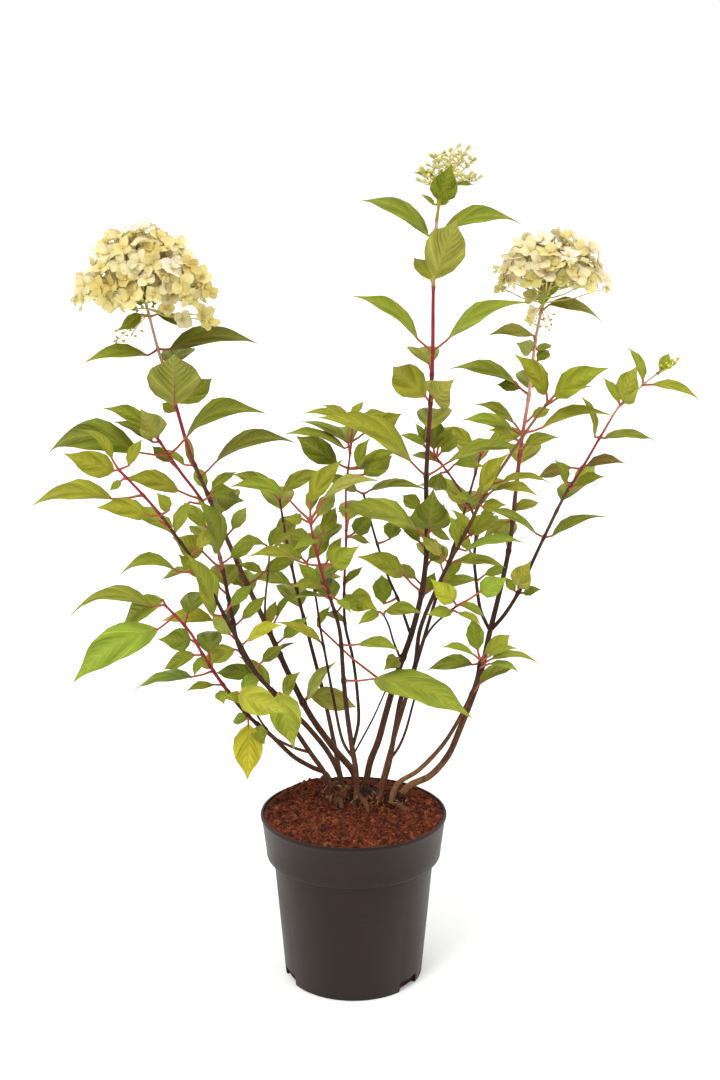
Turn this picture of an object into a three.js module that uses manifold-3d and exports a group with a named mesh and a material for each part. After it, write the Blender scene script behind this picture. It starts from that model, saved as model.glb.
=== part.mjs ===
// A young panicle hydrangea as a nursery sells it: a woody crown in peat, canes that carry
// opposite leaves, two open flower heads and one head still in bud, in a plain round pot.
// Millimetres, Z up. The pot stands on z = 0 with its axis on x = y = 0, and its front is -Y.
//
// Places on the plant are written [x, z, y] as they look from the front: x and z are where
// the line of sight from the viewing point crosses the plane y = 0, and y is the real depth.

import * as THREE from 'three';
import { mergeVertices } from 'three/addons/utils/BufferGeometryUtils.js';
import Module from 'manifold-3d';

const wasm = await Module();
wasm.setup();
const { Manifold, Mesh: SolidMesh } = wasm;

const viewpoint = new THREE.Vector3(6.6, -1500, 806);

// Pot: a 19 cm nursery pot with a thin wall, a collar and three drainage notches in its foot.
const pot = {
  rimRadius: 95,
  collarFootRadius: 89,
  neckRadius: 82,
  footRadius: 71,
  height: 175,
  collarFoot: 130,
  ledge: 8,
  wall: 1.8,
  floor: 3,
  sides: 28,
  lip: 2.4,
  lipOver: 1.4,
};
const notch = { turns: [203, 322, 82], wide: 27, high: 11, deep: 9, hole: 5 };

// The peat: rings are the shares of its radius at which its lumpy top is divided.
const soil = {
  clearance: 0.4,
  edgeHeight: 171.5,
  middleHeight: 179,
  grain: 1.6,
  ledgeDrop: 3.4,
  rings: [0.85, 0.6, 0.32],
};

// What is left free between two pieces that touch in nature.
const gap = 0.35;

// Leaves: ovate with a drawn-out tip, a little less than half as wide as long.
const leaf = {
  slender: 0.46,
  thickness: 1.3,
  fold: 0.16,
  wave: 0.04,
  toothOut: 1.06,
  toothIn: 0.88,
  toothLength: 0.06,
  petioleRadius: 1.15,
  arch: 0.06,
  large: 70,
  small: 44,
  longStalk: 30,
};

// The hidden leaves at the back stand off their cane by a stalk and rise a little to the tip.
const hiddenLeaf = { stalk: 12, stalkRise: 8, slope: 0.1 };

// Florets of the open heads: four broad sepals round a small centre. cup is how far the tips
// of the outer and the inner pair stand up, as a share of the radius.
const floret = {
  radius: 14.5,
  thickness: 1.5,
  pedicelRadius: 0.8,
  halfSepalTurn: 21,
  cut: 0.38,
  cup: [0.06, 0.22],
};
const bud = { radius: 2, length: 8, sides: 3, thickest: 0.7 };

const caneSides = 5;
const shootSides = 4;
const caneStart = [164, 178];

const goldenAngle = Math.PI * (3 - Math.sqrt(5));
const up = new THREE.Vector3(0, 0, 1);

// The canes. foot: plan place [x, y] in the crown. thick: diameters at foot and top.
// route: places up the cane. leaves: [node, baseX, baseZ, tipX, tipZ, width, reach, rise, face]
// where node is the height of the joint on the cane, width is the width as seen, reach is how
// far the tip lies behind the joint, rise is the arch over the chord, and face is -1 where the
// underside shows. behind: [node, turn, length] are leaves that the cane itself hides.
// shoots: side shoots, each with a route that starts on the cane.
const canes = {
  tall_cane: {
    foot: [11, 30],
    thick: [8, 3],
    route: [
      [13, 206, 27], [17, 228, 22], [25, 250, 17], [33, 281, 12], [46, 328, 4], [57, 360, 0],
      [67, 402, -4], [72, 445, -6], [72, 480, -8], [71, 520, -8], [74, 585, -6], [76, 642, -4],
      [76, 700, 0], [78, 760, 2], [80, 781, 4],
    ],
    leaves: [
      [766, 81, 784, 92, 818, 27, -42, 3],
      [757, 71, 752, 5, 784, 17, 22, 12], [757, 85, 757, 158, 763, 16, 18, 12],
      [706, 77, 712, 97, 767, 40, -62, 4, -1], [706, 74, 711, 57, 732, 16, 34, 3],
      [645, 62, 655, 0, 696, 15, -14, 10], [645, 90, 655, 169, 690, 16, -18, 12],
      [596, 70, 600, 38, 629, 30, 46, 6], [596, 77, 600, 97, 615, 28, -50, 8],
      [524, 57, 536, -34, 580, 25, -34, 14], [524, 90, 535, 166, 549, 14, -30, 10],
      [460, 62, 470, -16, 487, 25, -40, 12], [460, 75, 470, 78, 510, 40, -66, 6],
      [457, 74, 470, 96, 458, 10, 20], [407, 50, 423, 3, 442, 22, -30, 8],
      [407, 84, 412, 120, 417, 12, 26, 5], [338, 44, 338, 30, 325, 18, -34, 4],
    ],
    behind: [[560, 80, 78], [450, 100, 72]],
    shoots: [
      {
        thick: [3.4, 2.2],
        route: [
          [57, 362, 0], [45, 397, 12], [35, 420, 24], [25, 450, 36], [17, 478, 46], [10, 505, 54],
        ],
        leaves: [
          [505, 17, 509, 75, 508, 9, 24, 6], [505, 4, 508, -30, 522, 14, -14, 4],
          [455, 36, 460, 40, 478, 20, 34], [400, 30, 394, 28, 424, 22, 40, 4],
        ],
      },
      {
        thick: [2.8, 2],
        route: [[48, 335, 3], [40, 355, -9], [35, 372, -18], [30, 383, -24]],
        leaves: [[383, 32, 387, 69, 384, 15, -22, 5], [383, 26, 386, 4, 372, 12, -16, 4]],
      },
    ],
  },
  centre_cane: {
    foot: [3, 11],
    thick: [7, 2.6],
    route: [
      [3, 206, 12], [2, 222, 9], [-1, 240, 6], [-7, 285, -2], [-10, 318, -10], [-14, 368, -20],
      [-23, 400, -28], [-32, 430, -36], [-40, 465, -44], [-42, 478, -48],
    ],
    leaves: [
      [478, -64, 501, -120, 512, 15, -20, 9], [478, -30, 500, 25, 518, 13, -26, 9],
      [478, -42, 497, -10, 539, 20, 14, 6], [478, -42, 488, -33, 515, 14, 36, 3],
      [432, -50, 436, -104, 442, 10, -26, 7],
      [432, -22, 434, 6, 453, 24, -40, 5], [408, -30, 412, -62, 411, 13, -24, 5],
      [313, 20, 316, 120, 274, 33, -62, 12], [350, 4, 352, 46, 345, 13, -36, 6],
    ],
    behind: [[444, 75, 62]],
    shoots: [
      {
        thick: [4, 2],
        route: [
          [-1, 243, 6], [5, 270, 13], [4, 300, 20], [-1, 340, 26], [-8, 371, 30], [-9, 410, 32],
          [-7, 460, 34], [-7, 510, 32], [-3, 545, 28], [0, 579, 24],
        ],
        leaves: [
          [402, -3, 402, 24, 388, 26, -38, 4],
          [579, -6, 577, -48, 584, 8, -14, 5],
          [579, 4, 577, 34, 584, 9, -12, 4], [556, 12, 566, 47, 584, 20, 24, 5],
          [556, -6, 556, -53, 576, 9, 26, 6], [553, -8, 550, -67, 564, 10, -20, 7],
          [530, -16, 536, -55, 562, 26, 30, 5], [530, 4, 532, 16, 560, 14, -26, 3],
          [530, 5, 530, 44, 547, 15, -18, 5], [524, 10, 524, 38, 543, 22, 36, 4],
        ],
        behind: [[468, 80, 66], [545, 100, 60]],
      },
      {
        thick: [2.4, 1.8],
        route: [[0, 236, 7], [10, 255, 2], [20, 275, -2], [34, 308, -6]],
        leaves: [],
      },
      {
        thick: [3.6, 2.2],
        route: [
          [1, 230, 8], [-10, 248, 12], [-20, 295, 14], [-27, 335, 8], [-33, 370, 2],
          [-38, 405, -2], [-46, 436, -6],
        ],
        leaves: [
          [350, -33, 355, -78, 375, 10, 18, 5], [438, -50, 440, -76, 456, 14, 4, 3],
          [438, -44, 440, -22, 462, 16, 26, 3],
        ],
        behind: [[405, 70, 58]],
      },
    ],
  },
  left_cane: {
    foot: [2, 47],
    thick: [8, 3],
    route: [
      [0, 216, 46], [-18, 240, 48], [-42, 275, 50], [-62, 315, 50], [-84, 366, 48],
      [-104, 412, 46], [-124, 460, 44], [-140, 500, 42], [-158, 545, 38], [-174, 605, 34],
      [-186, 645, 30], [-194, 679, 28],
    ],
    leaves: [
      [677, -201, 679, -224, 663, 14, -16, 5], [677, -186, 679, -158, 665, 11, 16, 4],
      [645, -196, 640, -257, 633, 14, -24, 7], [645, -175, 646, -91, 651, 20, 22, 12],
      [598, -172, 592, -171, 641, 46, -72, 5, -1], [598, -165, 594, -135, 618, 22, 32, 5],
      [520, -133, 537, -55, 555, 17, 18, 15],
      [505, -138, 508, -112, 527, 11, 26, 4],
      [498, -136, 502, -106, 498, 30, -52, 6], [534, -158, 536, -163, 565, 10, 18],
      [412, -88, 426, -55, 440, 16, 22, 5], [366, -84, 372, -76, 398, 12, 24, 3],
      [366, -76, 380, -60, 405, 8, 24, 3],
      [290, -45, 300, 3, 286, 25, 20, 7], [290, -47, 294, -17, 334, 14, -14, 5],
    ],
    behind: [[622, 80, 74], [475, 90, 78]],
    shoots: [
      {
        thick: [2.8, 2],
        route: [[-88, 376, 47], [-87, 400, 37], [-84, 426, 28], [-82, 452, 20]],
        leaves: [
          [450, -82, 452, -68, 476, 13, 22, 3], [450, -78, 452, -55, 466, 8, -14, 3],
          [450, -86, 454, -120, 450, 11, -12, 9], [426, -90, 426, -114, 434, 10, 14, 4],
        ],
      },
    ],
  },
  left_red_cane: {
    foot: [-12, 33],
    thick: [6.5, 2.8],
    route: [
      [-14, 213, 32], [-25, 237, 28], [-41, 259, 22], [-66, 287, 14], [-96, 320, 6],
      [-114, 350, 0], [-121, 385, -4], [-128, 425, -8], [-135, 457, -12], [-148, 498, -18],
      [-168, 527, -24], [-190, 561, -30],
    ],
    leaves: [
      [561, -196, 566, -241, 589, 16, -26, 8], [561, -188, 562, -205, 589, 28, -46, 4],
      [556, -194, 556, -233, 576, 11, 18, 5], [543, -208, 546, -296, 544, 30, 30, 24],
      [543, -162, 560, -84, 584, 20, -22, 17], [500, -170, 508, -226, 519, 20, -26, 9],
      [495, -160, 497, -176, 462, 14, -20, 3], [428, -148, 447, -178, 462, 26, -42, 4],
      [428, -132, 447, -152, 500, 23, -54, 7], [376, -140, 377, -192, 375, 16, 26, 7],
      [376, -124, 378, -114, 405, 14, 22, 3], [345, -118, 347, -150, 337, 20, 24, 4],
      [318, -99, 320, -138, 322, 18, 24, 5], [304, -84, 307, -115, 340, 14, 20, 5],
      [300, -70, 298, -53, 324, 15, -24, 3],
    ],
    behind: [[440, 115, 70]],
    shoots: [],
  },
  far_left_cane: {
    foot: [-20, 20],
    thick: [6, 2.6],
    route: [
      [-28, 213, 16], [-44, 238, 6], [-60, 264, -4], [-80, 300, -18], [-97, 322, -28],
      [-112, 350, -38], [-128, 382, -48], [-149, 425, -58], [-172, 460, -66], [-190, 486, -72],
      [-213, 513, -78], [-228, 529, -80],
    ],
    leaves: [
      [529, -232, 528, -281, 545, 25, -24, 7], [529, -234, 540, -264, 568, 10, 26, 8],
      [529, -218, 533, -204, 559, 12, 22, 3],
      [504, -235, 500, -315, 492, 18, 18, 12], [484, -199, 483, -252, 491, 20, -26, 7],
      [427, -174, 427, -231, 423, 13, -24, 15],
      [427, -160, 428, -190, 418, 8, 22, 3], [382, -139, 382, -165, 446, 22, -28, 6],
      [298, -74, 302, -60, 242, 33, -34, 6],
      [350, -106, 356, -70, 372, 14, -24, 5],
    ],
    behind: [[455, 140, 66]],
    shoots: [
      {
        thick: [3.6, 2.2],
        route: [[-44, 238, 6], [-60, 243, -8], [-80, 254, -22], [-90, 266, -30], [-101, 285, -38]],
        leaves: [[284, -116, 301, -66, 280, 30, -46, 8], [284, -104, 292, -134, 296, 13, -22, 4]],
      },
    ],
  },
  left_low_cane: {
    foot: [-24, 38],
    thick: [6, 2.6],
    route: [
      [-27, 214, 38], [-42, 222, 34], [-60, 233, 28], [-84, 257, 16], [-105, 276, 4],
      [-126, 303, -10], [-149, 339, -28], [-162, 364, -40], [-177, 382, -50], [-187, 393, -56],
    ],
    leaves: [
      [393, -188, 398, -229, 372, 22, 30, 6], [393, -199, 391, -284, 378, 13, 14, 18],
      [382, -194, 368, -281, 312, 35, -40, 14], [352, -162, 357, -195, 357, 24, -38, 5],
      [342, -158, 341, -190, 325, 15, 20, 4],
      [324, -162, 318, -222, 302, 11, 22, 8], [311, -140, 310, -168, 303, 9, -16, 3],
      [277, -106, 268, -108, 208, 32, -30, 5],
      [268, -97, 266, -90, 246, 20, -34, 3],
    ],
    behind: [[372, 80, 60]],
    shoots: [],
  },
  fan_cane: {
    foot: [27, 12],
    thick: [6.5, 2.6],
    route: [
      [30, 202, 10], [36, 226, 4], [42, 262, -4], [49, 300, -12], [61, 328, -18], [66, 366, -26],
      [79, 402, -34], [95, 437, -42], [111, 468, -50], [128, 504, -58], [152, 543, -66],
      [175, 578, -74], [187, 594, -78],
    ],
    leaves: [
      [594, 186, 603, 154, 641, 20, -24, 6], [594, 193, 601, 245, 628, 24, -34, 7],
      [562, 156, 574, 117, 593, 11, -22, 6],
      [562, 154, 568, 104, 577, 13, 18, 7],
      [566, 182, 570, 250, 582, 12, -20, 9], [500, 124, 505, 151, 545, 18, -30, 5],
      [500, 137, 509, 180, 503, 10, -22, 6], [496, 126, 492, 150, 494, 14, -26, 3],
      [515, 146, 518, 193, 515, 7, 18, 6],
      [452, 110, 448, 168, 456, 11, -26, 8], [452, 102, 452, 92, 485, 12, -18, 4],
      [468, 116, 463, 95, 490, 10, 16, 4], [436, 103, 437, 150, 431, 11, 16, 6],
    ],
    behind: [],
    shoots: [
      {
        thick: [3.2, 2],
        route: [[61, 328, -18], [68, 352, -34], [80, 372, -46], [93, 384, -54], [104, 393, -58]],
        leaves: [
          [392, 125, 406, 153, 421, 22, -28, 4], [392, 100, 396, 76, 420, 21, -26, 4],
          [392, 106, 393, 130, 380, 9, 16, 4], [384, 98, 386, 72, 382, 13, -20, 4],
          [388, 104, 385, 127, 372, 8, -22, 3],
        ],
      },
      {
        thick: [3.4, 2.4],
        route: [[37, 230, 3], [46, 244, 0], [53, 262, -2], [60, 290, -4], [66, 312, -6]],
        leaves: [],
      },
    ],
  },
  right_cane: {
    foot: [46, 21],
    thick: [8, 3],
    route: [
      [57, 202, 22], [78, 213, 24], [96, 235, 24], [107, 262, 22], [118, 292, 20],
      [127, 320, 18], [136, 366, 16], [143, 398, 16], [150, 432, 18], [155, 465, 20],
      [158, 503, 22], [163, 558, 24], [169, 602, 26], [174, 655, 28], [179, 684, 30],
    ],
    leaves: [
      [682, 186, 688, 237, 671, 11, 18, 8],
      [652, 172, 659, 129, 659, 13, -18, 6],
      [604, 156, 613, 92, 627, 14, 20, 9],
      [478, 151, 477, 127, 460, 10, 18, 4], [484, 157, 488, 182, 496, 12, 24, 4],
      [545, 166, 552, 200, 560, 12, 26, 5],
    ],
    behind: [[600, 80, 74], [448, 95, 70]],
    shoots: [
      {
        thick: [4.6, 2],
        route: [
          [136, 366, 16], [150, 383, 12], [164, 407, 8], [177, 438, 2], [190, 468, -6],
          [206, 503, -14], [222, 530, -22], [240, 563, -30], [257, 592, -36], [270, 604, -38],
          [283, 616, -40], [292, 623, -42],
        ],
        leaves: [
          [407, 163, 411, 175, 438, 24, -42, 4],
          [462, 180, 465, 130, 489, 10, -18, 6],
          [462, 195, 463, 249, 482, 10, 18, 7], [513, 208, 517, 195, 539, 12, -20, 3],
          [513, 214, 516, 235, 533, 18, 28, 4], [510, 217, 514, 245, 522, 12, -24, 4],
          [530, 212, 531, 179, 520, 14, 20, 5], [530, 226, 533, 264, 535, 12, -20, 6],
          [560, 234, 561, 219, 601, 8, -18, 5], [560, 243, 560, 293, 557, 9, 20, 6],
          [592, 256, 594, 239, 619, 10, 18, 3], [592, 260, 594, 273, 631, 24, -44, 4],
          [612, 278, 616, 262, 648, 10, 20, 4], [612, 286, 612, 333, 597, 10, -16, 6],
        ],
        behind: [[488, 60, 60]],
        buds: [[309, 632, -42]],
      },
      {
        thick: [4.2, 2.2],
        route: [
          [136, 366, 16], [131, 376, 24], [126, 388, 32], [121, 420, 42], [119, 440, 48],
          [120, 462, 52], [118, 482, 56], [112, 497, 58], [100, 515, 60], [90, 529, 60],
          [79, 543, 60],
        ],
        leaves: [
          [543, 78, 549, 79, 580, 24, 34, 4],
          [543, 70, 552, 44, 563, 9, 16, 4],
          [541, 85, 546, 101, 563, 16, 30, 3],
          [527, 85, 526, 80, 508, 22, 30, 3], [527, 98, 534, 128, 531, 11, 20, 4],
        ],
        behind: [[455, 70, 60]],
      },
    ],
  },
  right_low_cane: {
    foot: [38, 3],
    thick: [6.5, 3],
    route: [
      [44, 203, 0], [65, 218, -6], [84, 238, -14], [95, 253, -20], [108, 277, -28],
      [121, 308, -38], [127, 337, -46],
    ],
    leaves: [
      [336, 124, 346, 118, 381, 19, 14, 5], [336, 121, 341, 88, 349, 9, -20, 5],
      [332, 119, 331, 74, 325, 15, 32, 6], [336, 131, 342, 156, 362, 18, 28, 4],
      [334, 134, 339, 164, 348, 9, -18, 4], [330, 138, 337, 187, 331, 8, 20, 7],
      [328, 136, 332, 166, 323, 8, -20, 4],
    ],
    behind: [],
    shoots: [],
  },
  back_left_cane: {
    foot: [-12, 60],
    thick: [6, 2.6],
    route: [
      [-14, 216, 62], [-20, 250, 72], [-30, 300, 90], [-42, 350, 108], [-54, 400, 124],
      [-64, 450, 138], [-72, 500, 150],
    ],
    leaves: [
      [500, -78, 506, -118, 524, 18, 20, 8], [500, -68, 508, -28, 526, 18, 24, 8],
      [455, -72, 460, -60, 484, 22, 50, 4], [410, -62, 414, -108, 418, 14, 30, 8],
      [410, -48, 414, -8, 420, 12, 34, 7],
    ],
    behind: [[480, 100, 84], [432, 80, 80], [380, 110, 74]],
    shoots: [],
  },
  back_right_cane: {
    foot: [28, 46],
    thick: [6, 2.6],
    route: [
      [31, 214, 52], [40, 250, 66], [54, 300, 84], [68, 350, 100], [82, 400, 114],
      [98, 450, 128], [112, 500, 140], [124, 545, 150],
    ],
    leaves: [
      [545, 116, 550, 84, 570, 18, 26, 7], [545, 130, 552, 168, 566, 18, 22, 7],
      [500, 108, 505, 60, 512, 14, 30, 8], [500, 120, 504, 160, 514, 12, 34, 8],
      [452, 100, 457, 110, 484, 20, 48, 5], [405, 90, 409, 126, 418, 12, 30, 6],
    ],
    behind: [[525, 90, 84], [475, 70, 80], [425, 105, 76]],
    shoots: [],
  },
};

// The open heads: a dome of florets round a smaller core, and florets on long pedicels below.
// pinch draws the dome in at half its height, so that it spreads towards its skirt.
const heads = {
  left_flower_head: {
    cane: 'left_cane',
    route: [[-196, 687, 27], [-197, 694, 27], [-197, 702, 27]],
    dome: { radius: 61, height: 56, pinch: 0.22, florets: 20, skirt: 1.72 },
    strays: [[-145, 683, 14], [-163, 680, 4], [-180, 692, -10], [-228, 688, 0]],
  },
  right_flower_head: {
    cane: 'right_cane',
    route: [[181, 692, 31], [184, 702, 31], [187, 712, 31]],
    dome: { radius: 49, height: 39, pinch: 0.12, florets: 18, skirt: 1.66 },
    strays: [[240, 705, 30], [140, 706, 26], [167, 690, 8]],
  },
};

// The head in bud: groups of small buds, each group [x, z, y, buds].
const budHead = {
  cane: 'tall_cane',
  route: [[81, 790, 10], [83, 800, 13], [86, 808, 14]],
  groups: [
    [66, 811, 4, 3], [74, 817, 22, 2], [79, 826, 10, 4], [88, 823, -8, 3], [94, 830, 20, 4],
    [103, 828, 0, 3], [112, 821, 14, 3], [106, 805, 2, 2], [116, 803, 22, 3], [94, 815, 38, 2],
  ],
};

// The woody crown: knobs [x, y, z, radiusX, radiusY, radiusZ] and roots that run into the peat.
const crown = {
  knobs: [
    [-17, 28, 180, 15, 18, 14], [9, 27, 173, 21, 29, 15], [39, 13, 176, 15, 15, 13],
  ],
  roots: [
    [[6, 16, 182], [12, 0, 183], [15, -14, 176], [17, -28, 162]],
    [[42, 4, 181], [50, -6, 180], [56, -13, 176], [61, -20, 164]],
    [[-15, 18, 184], [-13, 5, 181], [-12, -5, 176], [-12, -14, 164]],
  ],
  rootRadii: [3.4, 1.8],
};

// The real point at depth y on the line of sight through (x, z) of the plane y = 0.
function seen([x, z, y]) {
  const scale = (y - viewpoint.y) / -viewpoint.y;
  return new THREE.Vector3(
    viewpoint.x + (x - viewpoint.x) * scale,
    y,
    viewpoint.z + (z - viewpoint.z) * scale,
  );
}

// The height at which a real point appears on the plane y = 0.
function sightHeight(point) {
  const scale = (point.y - viewpoint.y) / -viewpoint.y;
  return viewpoint.z + (point.z - viewpoint.z) / scale;
}

function solidFrom(geometry) {
  geometry.deleteAttribute('normal');
  geometry.deleteAttribute('uv');
  const merged = mergeVertices(geometry, 1e-4);
  return new Manifold(new SolidMesh({
    numProp: 3,
    vertProperties: new Float32Array(merged.attributes.position.array),
    triVerts: new Uint32Array(merged.index.array),
  }));
}

function solidFromFaces(points, faces) {
  const geometry = new THREE.BufferGeometry().setFromPoints(points);
  geometry.setIndex(faces.flat());
  return solidFrom(geometry);
}

function geometryFrom(solid) {
  const { numProp, vertProperties, triVerts } = solid.getMesh();
  const positions = new Float32Array((vertProperties.length / numProp) * 3);
  for (let i = 0; i < positions.length / 3; i += 1) {
    positions.set(vertProperties.subarray(i * numProp, i * numProp + 3), i * 3);
  }
  const geometry = new THREE.BufferGeometry();
  geometry.setAttribute('position', new THREE.BufferAttribute(positions, 3));
  geometry.setIndex(Array.from(triVerts));
  return geometry;
}

// The largest body of a solid: a scrap that a cut leaves loose is dropped.
function mainBody(solid) {
  const bodies = solid.decompose();
  return bodies.reduce((best, body) => (body.volume() > best.volume() ? body : best));
}

// A round rod along a curve, its radius running evenly from one end to the other.
function rod(curve, steps, sides, startRadius, endRadius, sink = 0) {
  const frames = curve.computeFrenetFrames(steps);
  const points = [];
  for (let i = 0; i <= steps; i += 1) {
    const share = i / steps;
    const radius = THREE.MathUtils.lerp(startRadius, endRadius, share);
    const centre = curve.getPointAt(share);
    if (i === 0) {
      centre.addScaledVector(frames.tangents[0], -sink);
    }
    for (let k = 0; k < sides; k += 1) {
      const angle = (k / sides) * 2 * Math.PI;
      points.push(centre.clone()
        .addScaledVector(frames.normals[i], Math.cos(angle) * radius)
        .addScaledVector(frames.binormals[i], Math.sin(angle) * radius));
    }
  }
  const faces = [];
  for (let i = 0; i < steps; i += 1) {
    for (let k = 0; k < sides; k += 1) {
      const a = i * sides + k;
      const b = i * sides + ((k + 1) % sides);
      faces.push([a, b, b + sides], [a, b + sides, a + sides]);
    }
  }
  const last = steps * sides;
  for (let k = 1; k < sides - 1; k += 1) {
    faces.push([0, k + 1, k], [last, last + k, last + k + 1]);
  }
  return solidFromFaces(points, faces);
}

// Share of the full half width at a share of a leaf's length, from the base to the drawn tip.
function leafOutline(share) {
  return Math.sin(Math.PI * share ** 0.8) ** 0.9 * (1 - 0.25 * share ** 3);
}

// How finely a blade is cut: teeth on each edge and joints along its midrib.
function bladeDetail(length) {
  if (length > leaf.large) {
    return { teeth: [0.17, 0.45, 0.73], ribs: [0.3, 0.66] };
  }
  if (length > leaf.small) {
    return { teeth: [0.25, 0.6], ribs: [0.45] };
  }
  return { teeth: [0.42], ribs: [0.42] };
}

// The three corners of a leaf stalk at a place: left and right above, and one below.
function stalkRing(centre, forward, side) {
  const left = side.clone().addScaledVector(forward, -side.dot(forward)).normalize();
  const above = new THREE.Vector3().crossVectors(forward, left);
  const radius = leaf.petioleRadius;
  return [
    centre.clone().addScaledVector(left, radius).addScaledVector(above, radius / 2),
    centre.clone().addScaledVector(left, -radius).addScaledVector(above, radius / 2),
    centre.clone().addScaledVector(above, -radius),
  ];
}

// The triangles between an edge of a blade and its midrib, which meet in the tip.
function strip(outer, inner, turnedOver) {
  const faces = [];
  let o = 0;
  let i = 0;
  while (o < outer.length - 1 || i < inner.length - 1) {
    const outerNext = o < outer.length - 1 ? outer[o + 1].share : Infinity;
    const innerNext = i < inner.length - 1 ? inner[i + 1].share : Infinity;
    const stepOuter = outerNext <= innerNext;
    const next = stepOuter ? outer[o + 1] : inner[i + 1];
    const foot = [outer[o].index, inner[i].index];
    if (!foot.includes(next.index)) {
      faces.push(turnedOver ? [foot[1], foot[0], next.index] : [...foot, next.index]);
    }
    if (stepOuter) {
      o += 1;
    } else {
      i += 1;
    }
  }
  return faces;
}

// A leaf in one piece: a three-sided stalk from the joint, whose last ring opens into the
// blade. The blade's two faces share one saw-cut edge and split into triangles alike.
function leafSolid(joint, { base, tip, normal, width, rise }) {
  const chord = tip.clone().sub(base);
  const along = chord.clone().normalize();
  const side = new THREE.Vector3().crossVectors(normal, along).normalize();
  const midrib = (share) => base.clone()
    .addScaledVector(chord, share)
    .addScaledVector(normal, rise * 4 * share * (1 - share));

  const stalk = base.clone().sub(joint);
  const stalkWay = stalk.clone().normalize();
  const points = stalkRing(joint, stalkWay, side);
  if (stalk.length() > leaf.longStalk) {
    const middle = joint.clone().addScaledVector(stalk, 0.5);
    middle.z += stalk.length() * 0.05;
    points.push(...stalkRing(middle, stalkWay.clone().add(along).normalize(), side));
  }
  points.push(...stalkRing(base, along, side));
  const last = points.length - 3;
  const faces = [[0, 2, 1]];
  for (let ring = 0; ring < last; ring += 3) {
    for (let k = 0; k < 3; k += 1) {
      const a = ring + k;
      const b = ring + ((k + 1) % 3);
      faces.push([a, b, b + 3], [a, b + 3, a + 3]);
    }
  }

  const { teeth, ribs } = bladeDetail(chord.length());
  const end = { share: 1, index: points.push(tip.clone()) - 1 };
  const addRib = (share, height) => {
    const point = midrib(share).addScaledVector(normal, height);
    return { share, index: points.push(point) - 1 };
  };
  const upper = [...ribs.map((share) => addRib(share, leaf.thickness / 2)), end];
  const lower = [...ribs.map((share) => addRib(share, -leaf.thickness / 2)), end];
  const edgeShares = teeth.flatMap((share) => [
    { share, cut: leaf.toothOut }, { share: share + leaf.toothLength, cut: leaf.toothIn },
  ]).slice(0, -1);
  for (const hand of [1, -1]) {
    const edge = edgeShares.map(({ share, cut }, k) => {
      const half = (width / 2) * leafOutline(share) * cut;
      const lift = leaf.fold * half + leaf.wave * width * (k % 2 ? -1 : 1) * hand;
      const point = midrib(share)
        .addScaledVector(side, hand * half)
        .addScaledVector(normal, lift);
      return { share, index: points.push(point) - 1 };
    });
    const outer = [{ share: 0, index: hand > 0 ? last : last + 1 }, ...edge, end];
    faces.push(...strip(outer, upper, hand < 0), ...strip(outer, lower, hand > 0));
  }
  faces.push([last, last + 1, upper[0].index]);
  faces.push([last + 2, last, lower[0].index], [last + 1, last + 2, lower[0].index]);
  return solidFromFaces(points, faces);
}

// The point of a curve that is seen at a given height.
function jointAt(curve, height) {
  let best = null;
  for (let i = 0; i <= 200; i += 1) {
    const point = curve.getPoint(i / 200);
    const miss = Math.abs(sightHeight(point) - height);
    if (best === null || miss < best.miss) {
      best = { miss, point };
    }
  }
  return best.point;
}

// One leaf from how it looks: the blade is rolled until its width shows as given, and a leaf
// that looks too short for its width points further towards or away from the viewer.
function leafAsSeen(curve, [node, baseX, baseZ, tipX, tipZ, width, reach, riseGiven, face = 1]) {
  const joint = jointAt(curve, node);
  const flat = seen([tipX, tipZ, joint.y + reach]);
  const share = Math.min(0.9, joint.distanceTo(seen([baseX, baseZ, joint.y]))
    / Math.max(1, joint.distanceTo(flat)));
  const base = seen([baseX, baseZ, joint.y + reach * share]);
  const tip = seen([tipX, tipZ, joint.y + reach]);
  const chord = tip.clone().sub(base);
  const trueWidth = Math.max(width, chord.length() * leaf.slender);
  const sight = viewpoint.clone().sub(base).normalize();
  const across = new THREE.Vector3().crossVectors(chord, sight).normalize();
  const towards = new THREE.Vector3().crossVectors(across, chord).normalize();
  if (across.z < 0) {
    across.negate();
  }
  const open = Math.min(1, width / trueWidth);
  const normal = towards.multiplyScalar(open * face)
    .addScaledVector(across, Math.sqrt(1 - open * open)).normalize();
  const rise = riseGiven ?? chord.length() * leaf.arch;
  return leafSolid(joint, { base, tip, normal, width: trueWidth, rise });
}

// One leaf by its compass turn (0 is +X, 90 is away from the viewer) and its length.
function leafBehind(curve, [node, turn, length]) {
  const joint = jointAt(curve, node);
  const angle = THREE.MathUtils.degToRad(turn);
  const out = new THREE.Vector3(Math.cos(angle), Math.sin(angle), 0);
  const base = joint.clone().addScaledVector(out, hiddenLeaf.stalk);
  base.z += hiddenLeaf.stalkRise;
  const tip = base.clone().addScaledVector(out, length);
  tip.z += length * hiddenLeaf.slope;
  const across = new THREE.Vector3(-out.y, out.x, 0);
  const normal = new THREE.Vector3().crossVectors(tip.clone().sub(base), across).normalize();
  const width = length * leaf.slender;
  return leafSolid(joint, { base, tip, normal, width, rise: length * hiddenLeaf.slope });
}

function stemSteps({ route }) {
  return Math.ceil(route.length * 0.9);
}

function stemSolids(curve, sides, stem) {
  const { thick, leaves, behind = [], buds = [] } = stem;
  return [
    rod(curve, stemSteps(stem), sides, thick[0] / 2, thick[1] / 2),
    ...leaves.map((row) => leafAsSeen(curve, row)),
    ...behind.map((row) => leafBehind(curve, row)),
    ...buds.flatMap((place) => budTuft(curve.getPoint(0.98), seen(place), 6)),
  ];
}

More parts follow.
